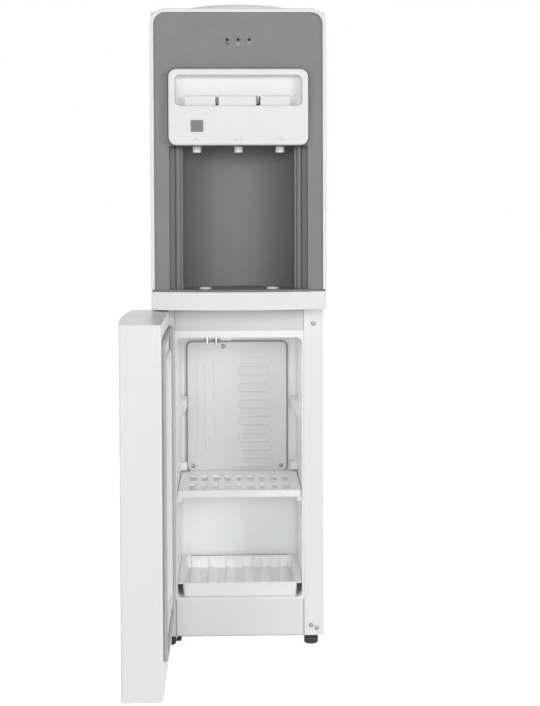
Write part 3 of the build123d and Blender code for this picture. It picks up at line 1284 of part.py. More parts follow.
# ---- rear fittings -------------------------------------------------------------
def service_plate():
    """Moulded plate on the back with the switch wells and the cable gland."""
    half, high = SERVICE_WIDE / 2, SERVICE_HIGH / 2
    back = DEPTH + SERVICE_THICK
    left, right = SERVICE_X - half, SERVICE_X + half
    plate = soft_block(left, right, DEPTH, back, SERVICE_Z - high, SERVICE_Z + high, 5, Axis.Y)
    well_wide = ROCKER_WIDE / 2 + WELL_WALL
    well_high = ROCKER_HIGH / 2 + WELL_WALL
    cut_wide = ROCKER_WIDE / 2 + ROCKER_GAP
    cut_high = ROCKER_HIGH / 2 + ROCKER_SWING
    well = DEPTH - WELL_DEEP
    bed = well + TAP_WALL
    low, high = ROCKER_Z - well_high, ROCKER_Z + well_high
    for x in rocker_places():
        plate += block(x - well_wide, x + well_wide, well, DEPTH, low, high)
    low, high = ROCKER_Z - cut_high, ROCKER_Z + cut_high
    for x in rocker_places():
        left, right = x - cut_wide, x + cut_wide
        plate -= block(left, right, bed, back + 1, low, high)
        plate -= along_x(left - 1, right + 1, ROCKER_Y, ROCKER_Z, ROCKER_PIN + RUN_GAP)
    gland_z = SERVICE_Z - GLAND_DROP
    end = back + GLAND_PROUD
    plate += along_y(SERVICE_X, back, end, gland_z, GLAND_RADIUS)
    return plate - along_y(SERVICE_X, DEPTH - 1, end + 1, gland_z, GLAND_BORE)


def rocker_places():
    """X of the heating and the cooling switch."""
    return (SERVICE_X - ROCKER_PITCH / 2, SERVICE_X + ROCKER_PITCH / 2)


def rocker(x):
    """Rocker of one rear switch, tipped to its off side."""
    half = ROCKER_HIGH / 2
    root, shoulder, dip, tip = -5.0, 6.0, 6.5, 8.5
    profile = [
        (root, -5), (shoulder, -half), (tip, 0.5 - half), (dip, 0),
        (tip, half - 0.5), (shoulder, half), (root, 5),
    ]
    corners = [(0, y, z) for y, z in profile]
    face = make_face(Polyline(*corners, close=True))
    body = Pos(-ROCKER_WIDE / 2, 0, 0) * extrude(face, ROCKER_WIDE, dir=(1, 0, 0))
    reach = ROCKER_WIDE / 2 + ROCKER_GAP + 0.8
    body += along_x(-reach, reach, 0, 0, ROCKER_PIN)
    return Pos(x, ROCKER_Y, ROCKER_Z) * Rot(ROCKER_TILT, 0, 0) * body


def drain_cap():
    """Screw cap on the drain of the hot tank."""
    start, end = DEPTH + 2, DRAIN_END + 4
    cap = along_y(DRAIN_X, start, end, DRAIN_Z, CAP_RADIUS)
    cap -= along_y(DRAIN_X, start - 1, DRAIN_END + SEAT_GAP, DRAIN_Z, DRAIN_RADIUS + RUN_GAP)
    groove = along_y(CAP_RADIUS + 0.4, start - 1, end + 1, 0, 1.2)
    for angle in range(0, 360, 45):
        cap -= Pos(DRAIN_X, 0, DRAIN_Z) * Rot(0, angle, 0) * groove
    return cap


# ---- all pieces ----------------------------------------------------------------
def pieces():
    """Every node of the cooler by name."""
    nodes = {
        "side_panel_left": side_panel(-1),
        "side_panel_right": side_panel(1),
        "back_panel": back_panel(),
        "base_plate": base_plate(),
        "deck_plate": deck_plate(),
        "tank_shelf": tank_shelf(),
        "top_cover": top_cover(),
        "front_rim": front_rim(),
        "fascia": fascia(),
        "status_lights": status_lights(),
        "alcove": alcove(),
        "drip_apron": drip_apron(),
        "drip_cup": drip_cup(),
        "drip_grille": drip_grille(),
        "tap_panel": tap_panel(),
        "lock_button": lock_button(),
        "bottle_seat": bottle_seat(),
        "feed_tube": feed_tube(),
        "cold_tank": cold_tank(),
        "cold_coil": cold_coil(),
        "cold_jacket": cold_jacket(),
        "hot_tank": hot_tank(),
        "hot_jacket": hot_jacket(),
        "hot_hose": hot_hose(),
        "normal_hose": straight_hose("normal"),
        "cold_hose": straight_hose("cold"),
        "fridge_liner": fridge_liner(),
        "cabinet_foam": cabinet_foam(),
        "evaporator_plate": evaporator_plate(),
        "sensor_clip": sensor_clip(),
        "shelf": shelf(),
        "lower_tray": lower_tray(),
        "front_rail": front_rail(),
        "kick_panel": kick_panel(),
        "screws": screws(),
        "door_panel": door_panel(),
        "door_foam": door_foam(),
        "door_liner": door_liner(),
        "door_gasket": door_gasket(),
        "hinge_bottom": hinge_bottom(),
        "hinge_top": hinge_top(),
        "foot_front_left": foot(-FOOT_X, FOOT_FRONT_Y),
        "foot_front_right": foot(FOOT_X, FOOT_FRONT_Y),
        "feet_rear": feet_rear(),
        "compressor": compressor(),
        "compressor_mounts": compressor_mounts(),
        "condenser": condenser(),
        "service_plate": service_plate(),
        "rocker_hot": rocker(rocker_places()[0]),
        "rocker_cold": rocker(rocker_places()[1]),
        "drain_cap": drain_cap(),
    }
    for name in KEY_EDGES:
        nodes[f"key_{name}"] = key(name)
        nodes[f"valve_{name}"] = valve(name)
        nodes[f"plunger_{name}"] = plunger(name)
    return nodes


if __name__ == "__main__":
    os.makedirs("parts", exist_ok=True)
    for node, shape in pieces().items():
        export_step(shape, f"parts/{node}.step")
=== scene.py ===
"""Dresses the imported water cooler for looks: finishes, fine parts, lamps and camera.

Lengths are metres in the frame of the CAD model: +X to the right, +Y to the back, +Z up.
"""

from __future__ import annotations

import json
import logging
import math
from collections.abc import Sequence
from dataclasses import dataclass
from enum import Enum

import bmesh
import bpy
from mathutils import Matrix, Vector

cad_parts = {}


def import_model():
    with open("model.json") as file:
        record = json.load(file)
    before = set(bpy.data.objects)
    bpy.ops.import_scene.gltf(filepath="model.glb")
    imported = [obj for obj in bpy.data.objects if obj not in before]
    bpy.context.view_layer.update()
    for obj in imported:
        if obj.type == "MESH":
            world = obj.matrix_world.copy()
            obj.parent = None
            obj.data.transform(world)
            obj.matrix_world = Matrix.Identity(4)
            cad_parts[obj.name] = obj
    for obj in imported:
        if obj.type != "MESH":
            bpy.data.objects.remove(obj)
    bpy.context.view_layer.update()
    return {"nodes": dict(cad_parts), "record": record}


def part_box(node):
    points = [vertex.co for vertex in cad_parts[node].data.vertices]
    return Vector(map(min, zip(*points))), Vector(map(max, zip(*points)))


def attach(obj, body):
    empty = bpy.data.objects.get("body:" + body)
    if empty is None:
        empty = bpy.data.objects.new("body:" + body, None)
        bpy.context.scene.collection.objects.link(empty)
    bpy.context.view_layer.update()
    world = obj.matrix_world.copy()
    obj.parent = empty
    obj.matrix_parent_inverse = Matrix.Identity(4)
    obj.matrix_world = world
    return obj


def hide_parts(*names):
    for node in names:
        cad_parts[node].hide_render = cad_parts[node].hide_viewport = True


LOG = logging.getLogger("water_cooler")
MM = 0.001
SENSOR_WIDTH = 36.0  # of the camera, in millimetres
WELD = 1e-6  # vertices nearer than this become one
BEND_STEPS = 6  # points round a tube's bend

Tone = tuple[float, float, float]
Point = tuple[float, float, float]

# Faces turned upwards darken towards this tone: dust on most finishes, a painted shade on the door's top.
DUST_AND_TOP_SHADE_TONE: Tone = (0.62, 0.6, 0.57)
WHITE_LIGHT = (1.0, 1.0, 1.0, 1.0)

# CAD nodes that a finer piece stands for.
REPLACED = ("evaporator_plate", "door_gasket", "condenser", "screws", "status_lights")

# CAD nodes whose tone differs from the rest of their slot. The door panel's darker top and the front rail's
# darker white are painted shade.
OWN_FINISH = {"alcove": "bay_grey", "door_panel": "door_white_shaded_top", "front_rail": "rail_white_shaded",
              "kick_panel": "kick_white"}


def grey(level: float, warm: float = 0.0) -> Tone:
    """Returns a linear near-grey, a little warmer or cooler by warm."""
    return (level * (1 + warm), level, level * (1 - warm))


# ---- nodes ---------------------------------------------------------------------


class NodeSheet:
    """Adds nodes to one node tree and wires them."""

    def __init__(self, tree: bpy.types.NodeTree) -> None:
        """Keeps the tree that nodes are added to."""
        self.tree = tree

    def feed(self, node: bpy.types.Node, key: str | int, value: object) -> None:
        """Sets an input, or links it when the value is another node's socket.

        Args:
            node: The node that has the input.
            key: The input's name or number.
            value: A plain value or an output socket.
        """
        socket = node.inputs[key]
        if isinstance(value, bpy.types.NodeSocket):
            self.tree.links.new(value, socket)
        else:
            socket.default_value = value

    def add(self, kind: str, inputs: dict[str | int, object] | None = None,
            **settings: object) -> bpy.types.Node:
        """Adds one node.

        Args:
            kind: Blender's name for the node type.
            inputs: Values or sockets for its inputs.
            **settings: Attributes set before the inputs.

        Returns:
            The new node.
        """
        node = self.tree.nodes.new(kind)
        for name, value in settings.items():
            setattr(node, name, value)
        for key, value in (inputs or {}).items():
            self.feed(node, key, value)
        return node

    def math(self, operation: str, *values: object) -> bpy.types.NodeSocket:
        """Adds a Math node and returns its result."""
        node = self.add("ShaderNodeMath", dict(enumerate(values)), operation=operation)
        return node.outputs[0]

    def mix(self, factor: object, first: object, second: object) -> bpy.types.NodeSocket:
        """Adds a colour mix and returns its result."""
        node = self.add("ShaderNodeMix", data_type="RGBA")
        self.feed(node, 0, factor)
        for slot, value in ((6, first), (7, second)):
            self.feed(node, slot, (*value, 1.0) if isinstance(value, tuple) else value)
        return node.outputs[2]

    def span(self, value: object, low: float, high: float, to_low: float = 0.0,
             to_high: float = 1.0) -> bpy.types.NodeSocket:
        """Maps a value from low..high to to_low..to_high and returns the result."""
        sockets = {0: value, 1: low, 2: high, 3: to_low, 4: to_high}
        return self.add("ShaderNodeMapRange", sockets).outputs[0]

    def noise(self, where: object, scale: object, detail: float = 3.0,
              rough: float = 0.5) -> bpy.types.NodeSocket:
        """Adds a noise texture at the given coordinates and returns its value."""
        sockets = {"Vector": where, "Scale": scale, "Detail": detail, "Roughness": rough}
        return self.add("ShaderNodeTexNoise", sockets).outputs[0]


# A group's sheet, its input node and its output node.
GroupEnds = tuple[NodeSheet, bpy.types.Node, bpy.types.Node]


class EffectGroups:
    """The effects that several finishes share, each built once as a node group."""

    def __init__(self) -> None:
        """Builds every group."""
        self.drift = self._drift()
        self.grain = self._grain()
        self.wear = self._wear()
        self.dust_and_top_shade = self._dust_and_top_shade()

    @staticmethod
    def _start(name: str, takes: dict[str, str], gives: dict[str, str]) -> GroupEnds:
        """Makes an empty group with its sockets.

        Args:
            name: The group's name.
            takes: Each input's name and socket type.
            gives: Each output's name and socket type.

        Returns:
            The sheet to build on, the input node and the output node.
        """
        tree = bpy.data.node_groups.new(name, "ShaderNodeTree")
        for side, sockets in (("INPUT", takes), ("OUTPUT", gives)):
            for label, kind in sockets.items():
                tree.interface.new_socket(label, in_out=side, socket_type=kind)
        sheet = NodeSheet(tree)
        return sheet, sheet.add("NodeGroupInput"), sheet.add("NodeGroupOutput")

    def _drift(self) -> bpy.types.NodeTree:
        """Slow change from one tone to a second one, in soft patches."""
        takes = {"First": "NodeSocketColor", "Second": "NodeSocketColor", "Scale": "NodeSocketFloat"}
        sheet, given, out = self._start("tone_drift", takes, {"Color": "NodeSocketColor"})
        where = sheet.add("ShaderNodeTexCoord").outputs["Object"]
        cloud = sheet.noise(where, given.outputs["Scale"], 4.0, 0.55)
        factor = sheet.span(cloud, 0.3, 0.7)
        sheet.feed(out, "Color", sheet.mix(factor, given.outputs["First"], given.outputs["Second"]))
        return sheet.tree

    def _grain(self) -> bpy.types.NodeTree:
        """Fine skin of a moulded or painted surface, as a height, over a broad waviness."""
        takes = {"Scale": "NodeSocketFloat", "Wave": "NodeSocketFloat"}
        sheet, given, out = self._start("fine_grain", takes, {"Height": "NodeSocketFloat"})
        where = sheet.add("ShaderNodeTexCoord").outputs["Object"]
        fine = sheet.noise(where, given.outputs["Scale"], 2.0)
        broad = sheet.noise(where, sheet.math("MULTIPLY", given.outputs["Scale"], 0.06), 2.0)
        rise = sheet.math("MULTIPLY_ADD", broad, given.outputs["Wave"], fine)
        sheet.feed(out, "Height", rise)
        return sheet.tree

    def _wear(self) -> bpy.types.NodeTree:
        """Softened edges as a normal, and a broken mask along them."""
        takes = {"Radius": "NodeSocketFloat", "Broken": "NodeSocketFloat"}
        gives = {"Normal": "NodeSocketVector", "Mask": "NodeSocketFloat"}
        sheet, given, out = self._start("edge_wear", takes, gives)
        bevel = sheet.add("ShaderNodeBevel", {"Radius": given.outputs["Radius"]}, samples=4)
        true = sheet.add("ShaderNodeNewGeometry").outputs["Normal"]
        turn = sheet.add("ShaderNodeVectorMath", {0: bevel.outputs[0], 1: true}, operation="DOT_PRODUCT")
        edge = sheet.span(turn.outputs["Value"], 0.995, 0.8)
        where = sheet.add("ShaderNodeTexCoord").outputs["Object"]
        patch = sheet.span(sheet.noise(where, 140.0, 5.0, 0.6), 0.42, 0.62)
        kept = sheet.math("MULTIPLY_ADD", sheet.math("SUBTRACT", patch, 1.0), given.outputs["Broken"], 1.0)
        sheet.feed(out, "Normal", bevel.outputs[0])
        sheet.feed(out, "Mask", sheet.math("MULTIPLY", edge, kept))
        return sheet.tree

    def _dust_and_top_shade(self) -> bpy.types.NodeTree:
        """Thin dust on faces turned upwards, and, with a larger amount, a painted shade on the door's top."""
        takes = {"Amount": "NodeSocketFloat"}
        sheet, given, out = self._start("settled_dust_and_top_shade", takes, {"Mask": "NodeSocketFloat"})
        up = sheet.add("ShaderNodeSeparateXYZ", {0: sheet.add("ShaderNodeNewGeometry").outputs["Normal"]})
        where = sheet.add("ShaderNodeTexCoord").outputs["Object"]
        patch = sheet.noise(where, 38.0, 6.0, 0.7)
        level = sheet.math("MULTIPLY", sheet.span(up.outputs[2], 0.5, 1.0), sheet.span(patch, 0.35, 0.75))
        sheet.feed(out, "Mask", sheet.math("MULTIPLY", level, given.outputs["Amount"]))
        return sheet.tree


# ---- finishes ------------------------------------------------------------------


class Skin(Enum):
    """The fine relief of a surface."""

    MOULDED = "moulded"
    PAINTED = "painted"
    BRUSHED = "brushed"
    SPANGLED = "spangled"
    CELLS = "cells"
    TURNED = "turned"


# Stretch of the noise, its detail and its roughness, for the skins drawn out one way.
STROKES = {Skin.BRUSHED: ((0.04, 0.04, 1.0), 3.0, 0.7), Skin.TURNED: ((0.05, 1.0, 0.05), 2.0, 0.6)}


@dataclass(frozen=True)
class Finish:
    """How one kind of surface looks.

    Attributes:
        name: The material's name.
        tone: The main colour, linear.
        second: The colour of its soft patches.
        rough: Lowest and highest roughness.
        skin: The kind of fine relief.
        scale: Features of the relief per metre.
        depth: Height of the relief in metres.
        wave: Share of broad waviness in the relief.
        edge: Radius of the softened edges in metres.
        worn: Colour that shows along edges.
        wear: Strength of the edge colour.
        dust_and_top_shade: Strength of the darkening on faces turned up: dust, and on the door's top a
            painted shade.
        metallic: 1 for bare metal.
        coat: Weight of a clear coat.
        clear: Weight of transmission.
        patch: Soft patches of tone per metre.
        gloss: Level of the surface's own reflection.
    """

    name: str
    tone: Tone
    second: Tone
    rough: tuple[float, float] = (0.32, 0.42)
    skin: Skin = Skin.MOULDED
    scale: float = 900.0
    depth: float = 0.00002
    wave: float = 1.0
    edge: float = 0.0005
    worn: Tone = (0.9, 0.9, 0.9)
    wear: float = 0.25
    dust_and_top_shade: float = 0.05
    metallic: float = 0.0
    coat: float = 0.0
    clear: float = 0.0
    patch: float = 5.0
    gloss: float = 0.5

    def _relief(self, sheet: NodeSheet, groups: EffectGroups) -> bpy.types.NodeSocket:
        """Builds the height of the fine relief.

        Args:
            sheet: The material's nodes.
            groups: The shared effects.

        Returns:
            A height socket.
        """
        where = sheet.add("ShaderNodeTexCoord").outputs["Object"]
        if self.skin in STROKES:
            stretch, detail, rough = STROKES[self.skin]
            drawn = sheet.add("ShaderNodeMapping", {"Vector": where, "Scale": stretch})
            return sheet.noise(drawn.outputs[0], self.scale, detail, rough)
        if self.skin in (Skin.SPANGLED, Skin.CELLS):
            cell = sheet.add("ShaderNodeTexVoronoi", {"Vector": where, "Scale": self.scale})
            if self.skin is Skin.CELLS:
                return cell.outputs["Distance"]
            return sheet.add("ShaderNodeSeparateColor", {0: cell.outputs["Color"]}).outputs[0]
        sockets = {"Scale": self.scale, "Wave": self.wave}
        return sheet.add("ShaderNodeGroup", sockets, node_tree=groups.grain).outputs["Height"]

    def make(self, groups: EffectGroups) -> bpy.types.Material:
        """Builds the material.

        Args:
            groups: The shared effects.

        Returns:
            The finished material.
        """
        material = bpy.data.materials.new(self.name)
        material.use_nodes = True
        material.node_tree.nodes.clear()
        sheet = NodeSheet(material.node_tree)
        relief = self._relief(sheet, groups)
        tones = {"First": (*self.tone, 1.0), "Second": (*self.second, 1.0), "Scale": self.patch}
        drift = sheet.add("ShaderNodeGroup", tones, node_tree=groups.drift)
        edges = {"Radius": self.edge, "Broken": 0.7}
        wear = sheet.add("ShaderNodeGroup", edges, node_tree=groups.wear)
        dust_and_top_shade = sheet.add("ShaderNodeGroup", {"Amount": self.dust_and_top_shade}, node_tree=groups.dust_and_top_shade)
        colour = drift.outputs["Color"]
        if self.skin in (Skin.SPANGLED, Skin.CELLS):
            shade = sheet.span(relief, 0.0, 1.0, 0.86, 1.06)
            tint = sheet.add("ShaderNodeCombineColor", {0: shade, 1: shade, 2: shade})
            product = sheet.add("ShaderNodeMix", data_type="RGBA", blend_type="MULTIPLY")
            for key, value in ((0, 1.0), (6, colour), (7, tint.outputs[0])):
                sheet.feed(product, key, value)
            colour = product.outputs[2]
        colour = sheet.mix(sheet.math("MULTIPLY", wear.outputs["Mask"], self.wear), colour, self.worn)
        # Faces turned upwards darken towards the dust tone: dust on most finishes, a painted shade on the
        # door's top.
        colour = sheet.mix(dust_and_top_shade.outputs["Mask"], colour, DUST_AND_TOP_SHADE_TONE)
        where = sheet.add("ShaderNodeTexCoord").outputs["Object"]
        smear = sheet.noise(where, 22.0, 5.0, 0.6)
        rough = sheet.span(smear, 0.3, 0.7, self.rough[0], self.rough[1])
        rough = sheet.math("ADD", rough, sheet.math("MULTIPLY", dust_and_top_shade.outputs["Mask"], 0.4))
        sockets = {"Height": relief, "Distance": self.depth, "Strength": 1.0,
                   "Normal": wear.outputs["Normal"]}
        bump = sheet.add("ShaderNodeBump", sockets)
        sockets = {"Base Color": colour, "Roughness": rough, "Normal": bump.outputs[0],
                   "Metallic": self.metallic, "Specular IOR Level": self.gloss}
        if self.coat:
            sockets |= {"Coat Weight": self.coat, "Coat Roughness": 0.12}
        if self.clear:
            sockets |= {"Transmission Weight": self.clear, "IOR": 1.46}
        shader = sheet.add("ShaderNodeBsdfPrincipled", sockets)
        sheet.add("ShaderNodeOutputMaterial", {"Surface": shader.outputs[0]})
        return material


class Finishes:
    """Every finish of the cooler, by the record's slot name."""

    WHITE = grey(0.84)
    WHITE_DIM = grey(0.815, 0.004)

    def __init__(self) -> None:
        """Builds the shared effects and every material."""
        self.groups = EffectGroups()
        self.made: dict[str, bpy.types.Material] = {}
        for finish in self._all():
            self.made[finish.name] = finish.make(self.groups)

    def __getitem__(self, name: str) -> bpy.types.Material:
        """Returns the material of that name."""
        return self.made[name]

    def _plastics(self) -> list[Finish]:
        """Returns the moulded pieces' finishes."""
        return [
            Finish("white_gloss", self.WHITE, self.WHITE_DIM, (0.36, 0.44), scale=420.0, depth=0.000008,
                   wave=0.5, wear=0.1, dust_and_top_shade=0.02, gloss=0.12),
            Finish("liner_white", grey(0.88, -0.003), grey(0.865, -0.004), (0.34, 0.42), scale=300.0,
                   depth=0.000015, wave=0.5, gloss=0.3),
            Finish("grey_panel", grey(0.184, -0.012), grey(0.175, -0.012), (0.42, 0.52), scale=1500.0,
                   depth=0.00003, worn=grey(0.3), wear=0.3),
            Finish("bay_grey", grey(0.192, -0.012), grey(0.182, -0.012), (0.46, 0.56), scale=1500.0,
                   depth=0.00003, worn=grey(0.24), wear=0.2, gloss=0.35),
            Finish("grey_button", grey(0.2), grey(0.18), (0.4, 0.5), scale=1400.0, depth=0.00003,
                   worn=grey(0.4)),
            Finish("dark_plastic", grey(0.035), grey(0.028), (0.42, 0.55), scale=1200.0, depth=0.00005,
                   worn=grey(0.12), dust_and_top_shade=0.12),
            Finish("valve_white", grey(0.87), grey(0.84, 0.005), (0.34, 0.44), scale=600.0, depth=0.00001),
            Finish("rocker_red", (0.5, 0.02, 0.02), (0.42, 0.015, 0.02), (0.2, 0.3), edge=0.0004, coat=0.3),
            Finish("rocker_green", (0.02, 0.25, 0.06), (0.02, 0.2, 0.05), (0.2, 0.3), edge=0.0004, coat=0.3),
            # The door's white with a strong darkening on its top face, a painted shade.
            Finish("door_white_shaded_top", self.WHITE, self.WHITE_DIM, (0.4, 0.48), scale=420.0, depth=0.000008,
                   wave=0.5, wear=0.1, dust_and_top_shade=0.4, gloss=0.12),
            Finish("kick_white", grey(0.8), grey(0.78), (0.34, 0.42), scale=300.0, depth=0.000015, wave=0.5,
                   gloss=0.3),
            Finish("rib_white", grey(0.9), grey(0.885), (0.34, 0.42), scale=300.0, depth=0.000015, wave=0.5,
                   gloss=0.3),
            Finish("print_white", grey(0.8), grey(0.58), (0.4, 0.5), scale=1500.0, depth=0.000005, wear=0.0),
            Finish("print_grey", grey(0.32), grey(0.28), (0.4, 0.5), scale=1500.0, depth=0.000005, wear=0.0),
            # Dark band round the cold plate's edge, a painted shadow.
            Finish("plate_shadow_band", grey(0.3), grey(0.26), (0.5, 0.6), scale=900.0, wear=0.1),
            Finish("lens_black", grey(0.004), grey(0.006), (0.5, 0.6), depth=0.000005, edge=0.0003, wear=0.0,
                   gloss=0.25),
            Finish("light_dark", grey(0.02, -0.1), grey(0.03, -0.1), (0.08, 0.16), depth=0.000005,
                   edge=0.0003, wear=0.1, coat=0.6),
        ]

    def _paints(self) -> list[Finish]:
        """Returns the painted metal's finishes."""
        return [
            Finish("white_paint", grey(0.83), grey(0.81), (0.42, 0.5), Skin.PAINTED, 650.0, 0.000012, 1.0,
                   gloss=0.3),
            # The white paint made darker for the front rail, a painted shade under the apron.
            Finish("rail_white_shaded", grey(0.66), grey(0.63), (0.34, 0.42), Skin.PAINTED, 650.0, 0.000012, 1.0,
                   gloss=0.3),
            Finish("hinge_black", grey(0.025), grey(0.02), (0.35, 0.5), Skin.PAINTED, 900.0, 0.00004,
                   worn=grey(0.2), wear=0.6),
            Finish("compressor_black", grey(0.018), grey(0.026), (0.3, 0.45), Skin.PAINTED, 700.0, 0.00006,
                   2.0, worn=grey(0.15), wear=0.5, dust_and_top_shade=0.2),
            Finish("condenser_black", grey(0.022), grey(0.03), (0.45, 0.6), Skin.PAINTED, 900.0, 0.00004,
                   worn=grey(0.15), wear=0.4, dust_and_top_shade=0.2),
        ]

    def _metals(self) -> list[Finish]:
        """Returns the bare metal's finishes."""
        bare = {"metallic": 1.0, "worn": grey(0.8)}
        return [
            Finish("zinc_steel", grey(0.5, -0.01), grey(0.45, -0.01), (0.42, 0.56), Skin.SPANGLED, 110.0,
                   0.00001, wear=0.2, **bare),
            Finish("screw_steel", grey(0.36), grey(0.3), (0.2, 0.34), Skin.TURNED, 2500.0, 0.00001, wear=0.3,
                   **bare),
            Finish("tank_steel", grey(0.62, 0.01), grey(0.55), (0.22, 0.34), Skin.BRUSHED, 1800.0, 0.00001,
                   **bare),
            Finish("pipe_aluminium", grey(0.72), grey(0.64), (0.28, 0.4), Skin.TURNED, 900.0, 0.00001,
                   wear=0.3, **bare),
            Finish("coil_copper", (0.78, 0.42, 0.28), (0.6, 0.3, 0.2), (0.22, 0.4), Skin.TURNED, 900.0,
                   0.00001, worn=(0.9, 0.55, 0.4), wear=0.3, metallic=1.0),
        ]

    def _soft(self) -> list[Finish]:
        """Returns the rubber, foam, hose and cold plate finishes."""
        return [
            Finish("gasket_grey", grey(0.5), grey(0.46), (0.5, 0.65), scale=1500.0, depth=0.00004,
                   worn=grey(0.3)),
            # Dark grey of the beads round the cabinet's front, a painted shadow line.
            Finish("shadow_line_grey", grey(0.16), grey(0.13), (0.5, 0.65), scale=1500.0, depth=0.00001, wear=0.0),
            Finish("black_rubber", grey(0.018), grey(0.03), (0.55, 0.75), scale=1300.0, depth=0.00006,
                   worn=grey(0.1), wear=0.3, dust_and_top_shade=0.12),
            Finish("foam_yellow", (0.78, 0.66, 0.38), (0.68, 0.52, 0.26), (0.7, 0.85), Skin.CELLS, 500.0,
                   0.0004, worn=(0.9, 0.8, 0.5), wear=0.2),
            Finish("foam_white", grey(0.84), grey(0.78), (0.65, 0.8), Skin.CELLS, 320.0, 0.0003, wear=0.2),
            Finish("hose_clear", grey(0.86, -0.01), grey(0.78, -0.02), (0.12, 0.22), depth=0.00001,
                   clear=0.85, wear=0.0),
            Finish("cold_plate", grey(0.68, -0.003), grey(0.64, -0.004), (0.34, 0.46), Skin.BRUSHED, 1200.0,
                   0.00001, wear=0.2),
        ]

    def _all(self) -> list[Finish]:
        """Returns every finish."""
        return self._plastics() + self._paints() + self._metals() + self._soft()

    def dress(self, piece: bpy.types.Object, name: str) -> None:
        """Gives every slot of a piece one finish.

        Args:
            piece: The object to dress.
            name: The finish's name.
        """
        if not piece.material_slots:
            piece.data.materials.append(self[name])
        for slot in piece.material_slots:
            slot.material = self[name]


# ---- studio --------------------------------------------------------------------


